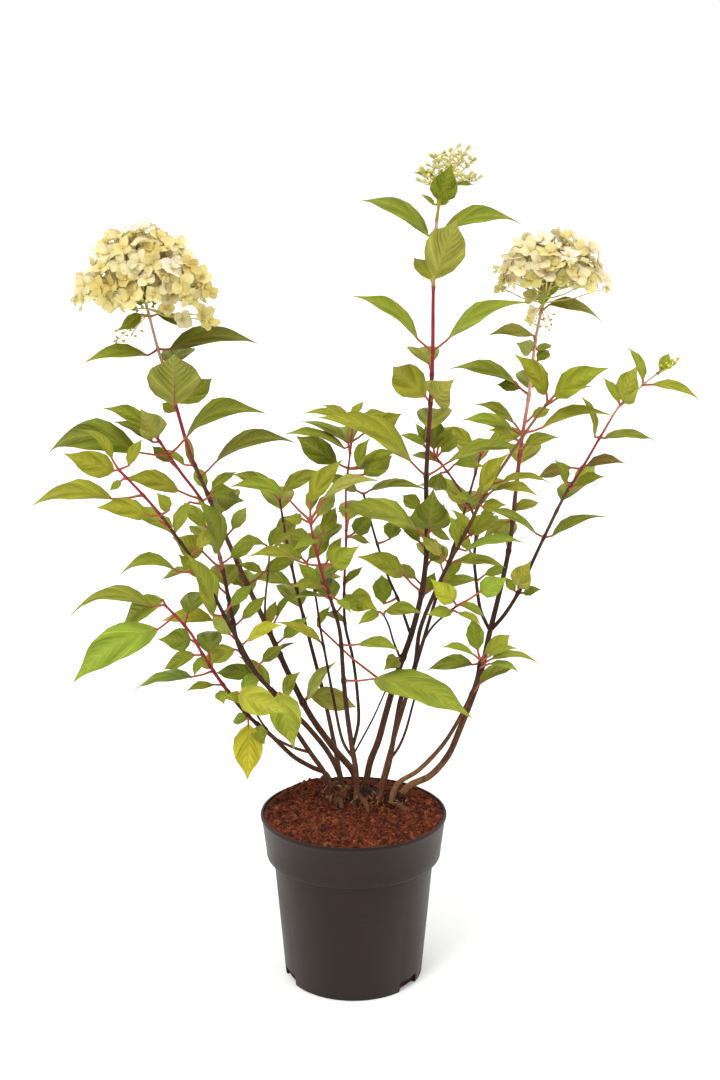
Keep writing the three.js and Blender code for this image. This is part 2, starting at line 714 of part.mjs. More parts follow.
// A slim bud: a spindle from its root on a branch, thickest near its tip.
function slimBud(root, tip) {
  const along = tip.clone().sub(root);
  const turn = new THREE.Quaternion().setFromUnitVectors(up, along.clone().normalize());
  const points = [root, tip];
  for (let k = 0; k < bud.sides; k += 1) {
    const angle = (k / bud.sides) * 2 * Math.PI;
    points.push(new THREE.Vector3(Math.cos(angle), Math.sin(angle), 0)
      .multiplyScalar(bud.radius)
      .applyQuaternion(turn)
      .add(root.clone().addScaledVector(along, bud.thickest)));
  }
  const faces = [];
  for (let k = 0; k < bud.sides; k += 1) {
    const a = 2 + k;
    const b = 2 + ((k + 1) % bud.sides);
    faces.push([0, b, a], [1, a, b]);
  }
  return solidFromFaces(points, faces);
}

// A bunch of buds that spread from along the end of a branch.
function budTuft(from, centre, count) {
  const solids = [rod(new THREE.LineCurve3(from, centre), 1, 3, 1, 0.9)];
  for (let k = 0; k < count; k += 1) {
    const angle = k * goldenAngle;
    const share = (k + 0.5) / count;
    const root = from.clone().lerp(centre, 0.45 + 0.52 * share);
    const spread = bud.length * (1 - 0.45 * share);
    const tip = root.clone().add(new THREE.Vector3(
      Math.cos(angle) * spread,
      Math.sin(angle) * spread,
      bud.length * (0.55 + 0.5 * share),
    ));
    solids.push(slimBud(root, tip));
  }
  return solids;
}

// A floret in one piece: four cupped sepals in one plate on a four-sided pedicel from its root.
function floretSolid(root, centre, facing, spin, size) {
  const turn = new THREE.Quaternion().setFromUnitVectors(up, facing);
  const radius = floret.radius * size;
  const around = (middle, reach, angle, height) => new THREE.Vector3(
    Math.cos(angle) * reach,
    Math.sin(angle) * reach,
    height,
  ).applyQuaternion(turn).add(middle);
  const points = [around(centre, 0, 0, floret.thickness / 2)];
  const faces = [];
  const shoulder = THREE.MathUtils.degToRad(floret.halfSepalTurn);
  for (let k = 0; k < 4; k += 1) {
    const angle = spin + (k * Math.PI) / 2;
    const cup = floret.cup[k % 2] * radius;
    const pedicel = floret.pedicelRadius;
    points.push(
      around(centre, radius, angle - shoulder, cup),
      around(centre, radius, angle + shoulder, cup),
      around(centre, radius * floret.cut, angle + Math.PI / 4, 0.4),
      around(centre, pedicel, angle + Math.PI / 4, -floret.thickness / 2),
      around(root, pedicel, angle + Math.PI / 4, 0),
    );
    const before = (k + 3) % 4;
    const [left, right, cut, ring, foot] = [1, 2, 3, 4, 5].map((step) => 5 * k + step);
    const [cutBefore, ringBefore, footBefore] = [3, 4, 5].map((step) => 5 * before + step);
    faces.push([0, cutBefore, left], [0, left, right], [0, right, cut]);
    faces.push([ringBefore, left, cutBefore], [ringBefore, right, left]);
    faces.push([ringBefore, ring, right], [ring, cut, right]);
    faces.push([ringBefore, footBefore, foot], [ringBefore, foot, ring]);
  }
  faces.push([5, 15, 10], [5, 20, 15]);
  return solidFromFaces(points, faces);
}

// The stalk of a head: it starts just above the cane's cut end and leaves in line with it.
function headStalk(cane, route) {
  const { point, tangent } = caneTops[cane];
  const start = [gap, 4].map((rise) => point.clone().addScaledVector(tangent, rise));
  return new THREE.CatmullRomCurve3([...start, ...route.map(seen)], false, 'centripetal');
}

function flowerHead({ cane, route, dome, strays }) {
  const stalk = headStalk(cane, route);
  const core = stalk.getPoint(1);
  const solids = [rod(stalk, 4, 5, canes[cane].thick[1] / 2, 1.3)];
  const coreShape = new THREE.IcosahedronGeometry(1, 0)
    .scale(dome.radius * 0.5, dome.radius * 0.5, dome.height * 0.5)
    .translate(core.x, core.y, core.z + dome.height * 0.3);
  solids.push(solidFrom(coreShape));
  for (let k = 0; k < dome.florets; k += 1) {
    const polar = Math.acos(1 - (1 - Math.cos(dome.skirt)) * ((k + 0.5) / dome.florets));
    const angle = k * goldenAngle;
    const out = new THREE.Vector3(
      Math.sin(polar) * Math.cos(angle),
      Math.sin(polar) * Math.sin(angle),
      Math.cos(polar),
    );
    const depth = 1 - 0.1 * (k % 3);
    const width = dome.radius * (1 - dome.pinch * Math.sin(2 * polar));
    const place = core.clone().add(new THREE.Vector3(
      out.x * width * depth,
      out.y * width * depth,
      out.z * dome.height * depth,
    ));
    const facing = out.clone().add(new THREE.Vector3(0, 0, 0.25)).normalize();
    const root = core.clone().lerp(place, 0.3);
    solids.push(floretSolid(root, place, facing, k * 1.1, 0.94 + 0.06 * (k % 3)));
  }
  strays.forEach((place, k) => {
    const centre = seen(place);
    const root = stalk.getPointAt(0.35);
    const facing = centre.clone().sub(root).normalize()
      .add(new THREE.Vector3(0, -0.8, 0.3)).normalize();
    solids.push(floretSolid(root, centre, facing, 0.4 + k, 0.86));
  });
  return mainBody(Manifold.union(solids));
}

function headInBud({ cane, route, groups }) {
  const stalk = headStalk(cane, route);
  const solids = [rod(stalk, 4, 5, canes[cane].thick[1] / 2, 1)];
  groups.forEach(([x, z, y, count], order) => {
    const root = stalk.getPointAt(0.45 + 0.5 * (order / groups.length));
    solids.push(...budTuft(root, seen([x, z, y]), count));
  });
  return mainBody(Manifold.union(solids));
}

// A cane's centre line: straight up out of the crown, then along its route.
function caneCurve({ foot, route }) {
  const [x, y] = foot;
  const start = caneStart.map((z) => new THREE.Vector3(x, y, z));
  return new THREE.CatmullRomCurve3([...start, ...route.map(seen)], false, 'centripetal');
}

const caneTops = {};
const caneHoles = [];
const solids = {};
for (const [name, cane] of Object.entries(canes)) {
  const curve = caneCurve(cane);
  caneTops[name] = { point: curve.getPointAt(1), tangent: curve.getTangentAt(1) };
  const [footRadius, topRadius] = cane.thick.map((diameter) => diameter / 2 + gap);
  caneHoles.push(rod(curve, stemSteps(cane), caneSides, footRadius, topRadius, gap));
  const parts = stemSolids(curve, caneSides, cane);
  for (const shoot of cane.shoots) {
    const shootCurve = new THREE.CatmullRomCurve3(shoot.route.map(seen), false, 'centripetal');
    parts.push(...stemSolids(shootCurve, shootSides, shoot));
  }
  solids[name] = mainBody(Manifold.union(parts));
}
for (const [name, head] of Object.entries(heads)) {
  solids[name] = flowerHead(head);
}
solids.bud_head = headInBud(budHead);

// The crown, and with a little added all round the hollow that it fills in the peat.
function crownSolid(extra) {
  const parts = crown.knobs.map(([x, y, z, radiusX, radiusY, radiusZ]) => {
    const knob = new THREE.DodecahedronGeometry(1);
    const places = knob.attributes.position;
    for (let i = 0; i < places.count; i += 1) {
      const point = new THREE.Vector3().fromBufferAttribute(places, i).normalize();
      const swell = 1 + 0.09 * Math.sin(5 * point.x + x) * Math.cos(4 * point.y + 3 * point.z);
      places.setXYZ(
        i,
        point.x * (radiusX * swell + extra),
        point.y * (radiusY * swell + extra),
        point.z * (radiusZ * swell + extra),
      );
    }
    return solidFrom(knob.translate(x, y, z));
  });
  for (const route of crown.roots) {
    const curve = new THREE.CatmullRomCurve3(route.map((place) => new THREE.Vector3(...place)));
    const [startRadius, endRadius] = crown.rootRadii.map((radius) => radius + extra);
    parts.push(rod(curve, 3, 5, startRadius, endRadius, extra));
  }
  return Manifold.union(parts);
}

function ringShape(profile, sides) {
  const outline = profile.map(([radius, z]) => new THREE.Vector2(radius, z));
  return new THREE.LatheGeometry(outline, sides).rotateX(Math.PI / 2);
}

// Radius inside the pot at a height, below the collar's ledge and above it.
function innerRadius(z) {
  const ledgeTop = pot.collarFoot + pot.ledge;
  const [low, high, lowRadius, highRadius] = z < ledgeTop
    ? [0, pot.collarFoot, pot.footRadius, pot.neckRadius]
    : [ledgeTop, pot.height, pot.collarFootRadius + 1, pot.rimRadius - 1];
  return THREE.MathUtils.mapLinear(z, low, high, lowRadius, highRadius) - pot.wall;
}

// The three blocks that the notches cut out of the foot, grown on all sides by a margin.
function notchBlocks(margin) {
  return Manifold.union(notch.turns.map((turn) => {
    const block = new THREE.BoxGeometry(
      2 * (notch.deep + margin),
      notch.wide + 2 * margin,
      2 * (notch.high + margin),
    );
    block.translate(pot.footRadius, 0, 0).rotateZ(THREE.MathUtils.degToRad(turn));
    return solidFrom(block);
  }));
}

function potSolid() {
  const { rimRadius, collarFootRadius, neckRadius, footRadius, height, collarFoot, floor } = pot;
  const ledgeTop = collarFoot + pot.ledge;
  const ledgeFoot = ledgeTop - pot.ledge / 2;
  const outside = solidFrom(ringShape([
    [0, 0], [footRadius, 0], [neckRadius, collarFoot], [collarFootRadius, collarFoot + 1],
    [collarFootRadius + 0.6, ledgeTop], [rimRadius - pot.lipOver, height - 2 * pot.lip],
    [rimRadius, height - pot.lip], [rimRadius, height], [0, height],
  ], pot.sides));
  const inside = solidFrom(ringShape([
    [0, floor], [innerRadius(floor), floor], [innerRadius(ledgeFoot), ledgeFoot],
    [innerRadius(ledgeTop), ledgeTop], [innerRadius(height), height + 1], [0, height + 1],
  ], pot.sides));
  const drains = Manifold.union(notch.turns.map((turn) => {
    const drain = new THREE.CylinderGeometry(notch.hole / 2, notch.hole / 2, 20, 10);
    drain.rotateX(Math.PI / 2).translate(footRadius - notch.deep + 4, 0, notch.high);
    return solidFrom(drain.rotateZ(THREE.MathUtils.degToRad(turn)));
  }));
  const hollow = inside.subtract(notchBlocks(pot.wall));
  return outside.subtract(hollow).subtract(notchBlocks(0)).subtract(drains);
}

// Peat up to just under the rim: a low dome with a coarse, lumpy surface.
function peatSolid() {
  const { clearance, edgeHeight, middleHeight, grain, rings } = soil;
  const radiusAt = (z, less = 0) => innerRadius(z) - clearance - less;
  const dome = (share) => middleHeight - (middleHeight - edgeHeight) * share ** 3;
  const bottom = pot.floor + clearance;
  const ledgeTop = pot.collarFoot + pot.ledge;
  const belowLedge = ledgeTop - soil.ledgeDrop;
  const edge = radiusAt(edgeHeight);
  const shape = ringShape([
    [0, bottom], [radiusAt(pot.floor, 0.3), bottom], [radiusAt(belowLedge, 0.3), belowLedge],
    [radiusAt(ledgeTop, 0.6), ledgeTop + 1.5], [edge, edgeHeight],
    ...rings.map((share) => [edge * share, dome(share)]), [0, middleHeight],
  ], pot.sides);
  const places = shape.attributes.position;
  for (let i = 0; i < places.count; i += 1) {
    const x = places.getX(i);
    const y = places.getY(i);
    if (places.getZ(i) > edgeHeight + 0.1) {
      const broad = Math.sin(0.31 * x + 1.3) * Math.cos(0.27 * y);
      const fine = 0.6 * Math.sin(0.7 * y + 0.5 * x);
      places.setZ(i, places.getZ(i) + grain * (broad + fine));
    }
  }
  return solidFrom(shape).subtract(notchBlocks(pot.wall + clearance));
}

const holes = Manifold.union(caneHoles);
solids.crown = mainBody(crownSolid(0).subtract(holes));
solids.peat = mainBody(peatSolid().subtract(crownSolid(gap)).subtract(holes));
solids.pot = potSolid();

const finishes = {
  pot: { color: 0x463c3a, roughness: 0.55, metalness: 0 },
  peat: { color: 0x5a3222, roughness: 1, metalness: 0 },
  crown: { color: 0x8a6f50, roughness: 0.9, metalness: 0 },
  left_flower_head: { color: 0xe8e0a8, roughness: 0.8, metalness: 0 },
  right_flower_head: { color: 0xe6dab0, roughness: 0.8, metalness: 0 },
  bud_head: { color: 0xc8d07a, roughness: 0.8, metalness: 0 },
};
const foliage = { color: 0x7a8c38, roughness: 0.7, metalness: 0 };

const hydrangea = new THREE.Group();
for (const [name, solid] of Object.entries(solids)) {
  const finish = new THREE.MeshStandardMaterial(finishes[name] ?? foliage);
  const mesh = new THREE.Mesh(geometryFrom(solid), finish);
  mesh.name = name;
  hydrangea.add(mesh);
}

export default hydrangea;
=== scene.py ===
import math
import random

import bpy
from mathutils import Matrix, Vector, noise


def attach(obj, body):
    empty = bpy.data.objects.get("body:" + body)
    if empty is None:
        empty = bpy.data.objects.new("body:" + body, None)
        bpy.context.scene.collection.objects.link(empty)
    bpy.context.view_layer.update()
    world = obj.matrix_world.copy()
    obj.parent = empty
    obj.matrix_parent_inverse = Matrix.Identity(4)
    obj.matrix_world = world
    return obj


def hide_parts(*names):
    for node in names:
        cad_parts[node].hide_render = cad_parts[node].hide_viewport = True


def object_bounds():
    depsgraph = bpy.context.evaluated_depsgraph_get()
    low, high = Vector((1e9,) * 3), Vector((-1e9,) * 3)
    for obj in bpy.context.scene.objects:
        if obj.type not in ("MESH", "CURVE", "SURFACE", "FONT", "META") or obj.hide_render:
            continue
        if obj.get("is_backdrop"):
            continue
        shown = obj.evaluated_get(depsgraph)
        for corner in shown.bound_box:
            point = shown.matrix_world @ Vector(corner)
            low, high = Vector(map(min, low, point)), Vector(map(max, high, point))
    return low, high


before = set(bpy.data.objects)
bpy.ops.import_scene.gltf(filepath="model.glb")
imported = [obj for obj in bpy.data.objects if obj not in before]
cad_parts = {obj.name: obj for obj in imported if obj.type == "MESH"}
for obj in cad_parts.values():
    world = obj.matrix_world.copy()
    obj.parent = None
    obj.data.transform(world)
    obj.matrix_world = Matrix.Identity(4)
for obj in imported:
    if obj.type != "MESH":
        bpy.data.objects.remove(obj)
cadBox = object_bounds()
print("frame loaded:", len(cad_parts), "nodes")

# Lengths are written in millimetres and turned into metres where a mesh is made.
# Places on the plant are (x, z, y) as seen from the front: x and z where the line of sight
# crosses the plane y = 0, and y the real depth.
metre = 0.001
eye = Vector((6.6, -1500, 806))
upwards = Vector((0, 0, 1))
goldenTurn = math.pi * (3 - math.sqrt(5))


def seen(place):
    x, z, y = place
    reach = (y - eye.y) / -eye.y
    return Vector((eye.x + (x - eye.x) * reach, y, eye.z + (z - eye.z) * reach))


def sightHeight(point):
    return eye.z + (point.z - eye.z) * eye.y / (eye.y - point.y)


def mix(low, high, share):
    return low + (high - low) * share


def smooth(share):
    share = min(1, max(0, share))
    return share * share * (3 - 2 * share)


def level(angle):  # a level direction
    return Vector((math.cos(angle), math.sin(angle), 0))


def outward(polar, angle):  # a direction, by its angle to straight up and its turn about that
    return Vector((math.sin(polar) * math.cos(angle), math.sin(polar) * math.sin(angle), math.cos(polar)))


def linear(red, green, blue):  # from the 0 to 255 of a colour picker

    def one(value):
        value /= 255
        return value / 12.92 if value < 0.04045 else ((value + 0.055) / 1.055) ** 2.4

    return Vector((one(red), one(green), one(blue)))


class Route:  # a smooth centre line through points, the same curve as the frame's own canes
    steps = 200

    def __init__(self, points):
        first, last = points[0] * 2 - points[1], points[-1] * 2 - points[-2]
        self.points = [first, *points, last]
        self.samples = [self.at(k / self.steps) for k in range(self.steps + 1)]
        self.lengths = [0]
        for before, after in zip(self.samples, self.samples[1:]):
            self.lengths.append(self.lengths[-1] + (after - before).length)
        self.length = self.lengths[-1]

    def at(self, share):
        spans = len(self.points) - 3
        span = min(int(share * spans), spans - 1)
        t = share * spans - span
        a, b, c, d = self.points[span:span + 4]
        before, within, after = [math.sqrt((q - p).length) or 1 for p, q in ((a, b), (b, c), (c, d))]
        leave = ((b - a) / before - (c - a) / (before + within) + (c - b) / within) * within
        arrive = ((c - b) / within - (d - b) / (within + after) + (d - c) / after) * within
        square = (c - b) * 3 - leave * 2 - arrive
        cube = (b - c) * 2 + leave + arrive
        return b + leave * t + square * t ** 2 + cube * t ** 3

    def atLength(self, distance):
        k = 0
        while k < self.steps - 1 and self.lengths[k + 1] < distance:
            k += 1
        part = (distance - self.lengths[k]) / max(1e-6, self.lengths[k + 1] - self.lengths[k])
        return self.samples[k].lerp(self.samples[k + 1], min(1, max(0, part)))

    def joint(self, height):  # the sample that is seen at a height, and its distance along
        best = min(range(self.steps + 1), key=lambda k: abs(sightHeight(self.samples[k]) - height))
        return self.samples[best], self.lengths[best]


class Sprout:  # gathers the shells of one piece, with a tint and a place on the leaf for each point
    def __init__(self):
        self.points, self.faces, self.looks, self.tints, self.places = [], [], [], [], []

    def add(self, points, faces, look, tints, places):
        first = len(self.points)
        self.points += [point * metre for point in points]
        self.faces += [[first + k for k in face] for face in faces]
        self.looks += [look] * len(faces)
        self.tints += tints
        self.places += places

    def finish(self, name, looks, nodes, sharp=50):
        mesh = bpy.data.meshes.new(name)
        mesh.from_pydata(self.points, [], self.faces)
        for label, values in (("tint", self.tints), ("place", self.places)):
            layer = mesh.attributes.new(label, "FLOAT_VECTOR", "POINT")
            layer.data.foreach_set("vector", [number for value in values for number in value])
        for look in looks:
            mesh.materials.append(look)
        mesh.polygons.foreach_set("material_index", self.looks)
        mesh.polygons.foreach_set("use_smooth", [True] * len(self.faces))
        mesh.set_sharp_from_angle(angle=math.radians(sharp))
        mesh.validate()
        piece = bpy.data.objects.new(name, mesh)
        bpy.context.scene.collection.objects.link(piece)
        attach(piece, "root")
        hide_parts(*nodes)
        return piece


def ringFaces(rings, sides):  # round rings joined one to the next, with an end face on both
    faces = [list(range(sides))[::-1], list(range((rings - 1) * sides, rings * sides))]
    for k in range(rings - 1):
        for s in range(sides):
            a, b = k * sides + s, k * sides + (s + 1) % sides
            faces.append([a, b, b + sides, a + sides])
    return faces


# A tube along points with a radius each. tint is one colour or a function of a ring's share,
# and place a function of that share and the angle round the tube.
def addTube(sprout, centres, radii, sides, look, tint, place=None):
    count = len(centres)
    ways = [(centres[min(k + 1, count - 1)] - centres[max(k - 1, 0)]).normalized() for k in range(count)]
    across = ways[0].orthogonal().normalized()
    points, tints, places = [], [], []
    for k, (centre, radius, way) in enumerate(zip(centres, radii, ways)):
        across = (across - way * across.dot(way)).normalized()
        other = way.cross(across)
        share = k / (count - 1)
        for s in range(sides):
            angle = s / sides * math.tau
            points.append(centre + (across * math.cos(angle) + other * math.sin(angle)) * radius)
            tints.append(tint(share) if callable(tint) else tint)
            places.append(place(share, angle) if place else Vector((0, 0, 0)))
    sprout.add(points, ringFaces(count, sides), look, tints, places)


class Wire:  # an output in a material: sums, differences and products of wires add their own nodes
    def __init__(self, tree, socket):
        self.tree, self.socket = tree, socket

    def make(self, kind, settings=None, sockets=None, out=0):
        node = self.tree.nodes.new(kind)
        for name, value in (settings or {}).items():
            setattr(node, name, value)
        for name, value in (sockets or {}).items():
            if isinstance(value, Wire):
                self.tree.links.new(value.socket, node.inputs[name])
            elif node.inputs[name].type == "RGBA" and len(value) == 3:
                node.inputs[name].default_value = (*value, 1)
            else:
                node.inputs[name].default_value = value
        return Wire(self.tree, node.outputs[out])

    def combine(self, operation, first, second):
        numbers = (int, float)

        def broad(item):  # a colour or a vector
            return item.socket.type != "VALUE" if isinstance(item, Wire) else not isinstance(item, numbers)

        kind = "ShaderNodeMath"
        if broad(first) or broad(second):
            kind = "ShaderNodeVectorMath"
            first, second = [(item,) * 3 if isinstance(item, numbers) else item for item in (first, second)]
        return self.make(kind, {"operation": operation}, {0: first, 1: second})

    def __add__(self, other):
        return self.combine("ADD", self, other)

    def __radd__(self, other):
        return self.combine("ADD", other, self)

    def __sub__(self, other):
        return self.combine("SUBTRACT", self, other)

    def __rsub__(self, other):
        return self.combine("SUBTRACT", other, self)

    def __mul__(self, other):
        return self.combine("MULTIPLY", self, other)

    def __rmul__(self, other):
        return self.combine("MULTIPLY", other, self)

    def __abs__(self):
        return self.make("ShaderNodeMath", {"operation": "ABSOLUTE"}, {0: self})

    def part(self, axis):
        return self.make("ShaderNodeSeparateXYZ", None, {0: self}, axis)

    def ramp(self, low, high, start=0.0, end=1.0):  # eased from start to end between low and high
        sockets = {0: self, 1: low, 2: high, 3: start, 4: end}
        return self.make("ShaderNodeMapRange", {"interpolation_type": "SMOOTHSTEP"}, sockets)

    def between(self, first, second):  # from one colour to another by this factor
        return self.make("ShaderNodeMix", {"data_type": "RGBA"}, {0: self, 6: first, 7: second}, 2)

    def noise(self, scale, detail, rough=0.5):
        sockets = {"Vector": self, "Scale": scale, "Detail": detail, "Roughness": rough}
        return self.make("ShaderNodeTexNoise", None, sockets)

    def cells(self, scale, feature="F1"):
        return self.make("ShaderNodeTexVoronoi", {"feature": feature}, {"Vector": self, "Scale": scale})

    def stretched(self, scale):
        return self.make("ShaderNodeMapping", None, {"Vector": self, "Scale": scale})


class Finish:  # a new material with its shader, and the wires that the finishes start from
    def __init__(self, name, **fixed):
        self.material = bpy.data.materials.new(name)
        self.material.use_nodes = True
        tree = self.material.node_tree
        self.shader = tree.nodes["Principled BSDF"]
        for socket, value in fixed.items():
            self.shader.inputs[socket.replace("_", " ")].default_value = value
        start = Wire(tree, None)
        self.spot = start.make("ShaderNodeTexCoord", out=3)
        self.tint = start.make("ShaderNodeAttribute", {"attribute_name": "tint"}, out=1)
        self.place = start.make("ShaderNodeAttribute", {"attribute_name": "place"}, out=1)

    def set(self, socket, wire):
        wire.tree.links.new(wire.socket, self.shader.inputs[socket])

    def bump(self, height, distance, strength=1.0):
        sockets = {"Height": height, "Distance": distance, "Strength": strength}
        self.set("Normal", height.make("ShaderNodeBump", None, sockets))


# Leaves: the tint of the leaf, lighter veins, painted shade darkening the blade between them and a darker
# edge, a soft mottling, and a duller underside.
leafLook = {
    "veinLight": 1.55,
    "veinShare": 0.7,
    "netShare": 0.1,
    "valleyShade": 0.22,
    "edge": 0.78,
    "mottle": 0.4,
    "mottleScale": 90,
    "netScale": 700,
    "fineScale": 900,
    "upperRough": 0.46,
    "underRough": 0.62,
}
leaves = Finish("leaf", IOR=1.4, Specular_IOR_Level=0.26)
across = abs(leaves.place.part(0))
row = leaves.place.part(1)
nearVein = abs(row.make("ShaderNodeMath", {"operation": "FRACT"}, {0: row + 0.5}) - 0.5)
vein = nearVein.ramp(0.01, 0.07, 1, 0) * across.ramp(0.8, 1, 1, 0)
patch = leaves.spot.noise(leafLook["mottleScale"], 3)
fine = leaves.spot.noise(leafLook["fineScale"], 2)
net = leaves.spot.cells(leafLook["netScale"], "DISTANCE_TO_EDGE").ramp(0, 0.12, 1, 0)
leafColour = leaves.tint * (1 - leafLook["mottle"] / 2 + patch * leafLook["mottle"])
# painted shade: the blade is darkened between the veins, as if shaded by its quilting
valleyShade = nearVein.ramp(0.16, 0.5, 0, leafLook["valleyShade"]) * across.ramp(0.04, 0.3)
leafColour = leafColour * (1 - valleyShade) * across.ramp(0.88, 1, 1, leafLook["edge"])
lines = vein * leafLook["veinShare"] + net * leafLook["netShare"]
leafColour = lines.between(leafColour, leafColour * leafLook["veinLight"])
leaves.set("Base Color", leafColour)
leafRough = leaves.place.part(2).ramp(-1, 1, leafLook["underRough"], leafLook["upperRough"])
leaves.set("Roughness", leafRough + fine * 0.1)
leaves.bump(fine * 0.35 - vein * 0.8 - net * 0.3, 0.0004, 0.7)

# Stems: smooth and coloured when young, streaked, split and dotted with pores when old.
stemLook = {
    "streakScale": 620,
    "streakStretch": (1, 1, 0.14),
    "streakLight": (0.5, 1.55),
    "poreScale": 330,
    "pore": linear(168, 134, 104),
    "pores": (0.12, 0.5),  # young and old, as the two below
    "rough": (0.38, 0.8),
    "streaks": (0.35, 1),
}
stems = Finish("stem", IOR=1.42, Specular_IOR_Level=0.22)
age = stems.place.part(2)
streak = stems.spot.stretched(stemLook["streakStretch"]).noise(stemLook["streakScale"], 4, 0.65)
pore = stems.spot.cells(stemLook["poreScale"]).ramp(0.1, 0.2, 1, 0)
bark = stems.tint * streak.ramp(0.25, 0.75, *stemLook["streakLight"])
stemColour = age.ramp(0, 1, *stemLook["streaks"]).between(stems.tint, bark)
stemColour = (pore * age.ramp(0.1, 0.9, *stemLook["pores"])).between(stemColour, stemLook["pore"])
stems.set("Base Color", stemColour)
stems.set("Roughness", age.ramp(0, 1, *stemLook["rough"]))
stems.bump(streak * age.ramp(0, 1, 0.15, 1) + pore * 0.3, 0.0008)

# Petals: papery, with a hint of light through them.
petalLook = {
    "creases": 26,
    "cloudScale": 260,
    "light": 0.9,
    "cloud": 0.2,
    "crease": 0.03,
    "rough": 0.6,
}
petals = Finish(
    "petal", IOR=1.35, Subsurface_Weight=0.4, Subsurface_Scale=0.003, Subsurface_Radius=(1, 0.9, 0.6),
)
ripple = petals.place.part(0) * petalLook["creases"]
crease = ripple.make("ShaderNodeMath", {"operation": "SINE"}, {0: ripple})
cloud = petals.spot.noise(petalLook["cloudScale"], 3)
petalLight = petalLook["light"] + cloud * petalLook["cloud"] + crease * petalLook["crease"]
petals.set("Base Color", petals.tint * petalLight)
petals.set("Roughness", petalLook["rough"] + cloud * 0.15)
petals.bump(crease * 0.3 + cloud, 0.0003, 0.5)

# Peat: crumbly, dark between the grains and rusty on them.
peatLook = {"grainScale": 420, "grain": (0.5, 1.35), "clodScale": 95, "clod": (0.8, 1.15), "rough": 0.85}
peatFinish = Finish("peat", IOR=1.3)
grain = peatFinish.spot.noise(peatLook["grainScale"], 5, 0.7)
clod = peatFinish.spot.noise(peatLook["clodScale"], 3)
grainLight = grain.ramp(0.3, 0.72, *peatLook["grain"])
clodLight = clod.ramp(0.2, 0.8, *peatLook["clod"])
peatFinish.set("Base Color", peatFinish.tint * grainLight * clodLight)
peatFinish.set("Roughness", peatLook["rough"] + grain * 0.15)
peatFinish.bump(grain, 0.002)

# Pot: moulded plastic with a fine grain, faint scuffs and a little dust.
potLook = {
    "plastic": linear(19, 11, 9),
    "worn": linear(90, 70, 60),
    "scuffs": 0.1,
    "dust": 0.07,
    "rough": 0.42,
    "grainScale": 1500,
    "scuffScale": 60,
    "scuffStretch": (1, 1, 5),
    "dustScale": 14,
}
potFinish = Finish("pot_plastic", IOR=1.46, Specular_IOR_Level=0.36, Specular_Tint=(1, 0.78, 0.7, 1))
dimple = potFinish.spot.noise(potLook["grainScale"], 2)
scratch = potFinish.spot.stretched(potLook["scuffStretch"]).noise(potLook["scuffScale"], 5, 0.7)
scuff = scratch.ramp(0.55, 0.75)
dust = potFinish.spot.noise(potLook["dustScale"], 4).ramp(0.35, 0.75)
wear = scuff * potLook["scuffs"] + dust * potLook["dust"]
potFinish.set("Base Color", wear.between(potLook["plastic"], potLook["worn"]))
potFinish.set("Roughness", potLook["rough"] + dust * 0.1 + scuff * 0.12)
potFinish.bump(dimple + scuff * 0.4, 0.00015, 0.6)
print("finishes made")


# Colours as a colour picker shows them, turned linear.
tones = {
    "olive": linear(136, 141, 32),
    # dark: partly the leaves' own deeper olive, partly painted shade on leaves turned away from the light
    "dark": linear(106, 112, 20),
    "pale": linear(155, 157, 66),
    "light": linear(158, 161, 50),
    "bright": linear(138, 152, 46),
    "yellow": linear(170, 168, 42),
    "brown": linear(124, 104, 42),
    "grey": linear(120, 128, 54),
}
barkTones = {
    "tan": linear(128, 92, 60),
    "brown": linear(92, 60, 40),
    "dark": linear(60, 36, 27),
    "maroon": linear(96, 40, 36),
    "crimson": linear(140, 46, 52),
    "rose": linear(158, 60, 62),
    "pink": linear(208, 160, 136),
}

leafShape = {
    "slender": 0.46,  # width over length, where the leaf is seen edge on
    "arch": 0.06,
    "fold": 0.22,
    "curl": 0.12,
    "wave": 0.035,
    "twist": 0.16,
    "sweep": 0.62,  # how far the veins run forward to the edge, over the length
    "quilt": 0.028,  # how deep the veins lie, over the width
    "groove": 0.45,  # how deep the midrib lies, and ridge how far it stands out below
    "ridge": 0.55,
    "rib": 0.1,  # half the midrib's width, over half the leaf's
    "tooth": 0.035,
    "thick": 0.5,
    "large": 68,  # above this length a leaf has the most veins, and up to small the fewest
    "small": 40,
    "columns": (0, 0.06, 0.2, 0.42, 0.64, 0.84, 0.94, 1),
    "fewColumns": (0, 0.09, 0.4, 0.75, 0.95, 1),
    "petiole": (1.9, 1.45, 1.2, 1.15),  # its radii, from the cane to the blade
    "petioleRings": (0.12, 0.26, 0.42, 0.6, 0.78),  # where it runs on under the blade
    "petioleSides": 6,
}

leafTint = {
    "freshBelow": 560,  # the lower leaves are a fresher green
    "freshOver": 160,
    "fresh": 0.4,
    "light": (0.88, 1.12),  # how leaves differ from one to the next, and in how red they are
    "red": (0.9, 1.12),
    # the lower face's paleness is partly its own colour and partly painted light shining through the leaf
    "under": 0.55,  # how pale the lower face is
    "ribStalk": 0.35,  # how much of the stalk's colour the midrib has, and how pale it is
    "ribPale": 0.45,
}

hiddenLeaf = {"out": 12, "up": 8, "slope": 0.1, "rise": 0.1, "tone": "olive"}

smallLeaf = {
    "turn": (30, 80),  # from straight back, in degrees
    "out": 9,
    "up": 6,
    "length": (19, 28),
    "climb": (2, 22),
    "face": (0.3, 0.9),  # how much it faces up, where 1 is as much as to the front
    "width": (12, 18),
    "rise": 3,
    "tones": ["olive", "dark", "light", "pale", "bright"],
}


def leafOutline(share):  # the frame's outline, with the tip drawn out further
    full = math.sin(math.pi * share ** 0.8) ** 0.9 * (1 - 0.25 * share ** 3)
    return full * (1 - 0.34 * smooth((share - 0.66) / 0.26) * smooth((1.12 - share) / 0.2))


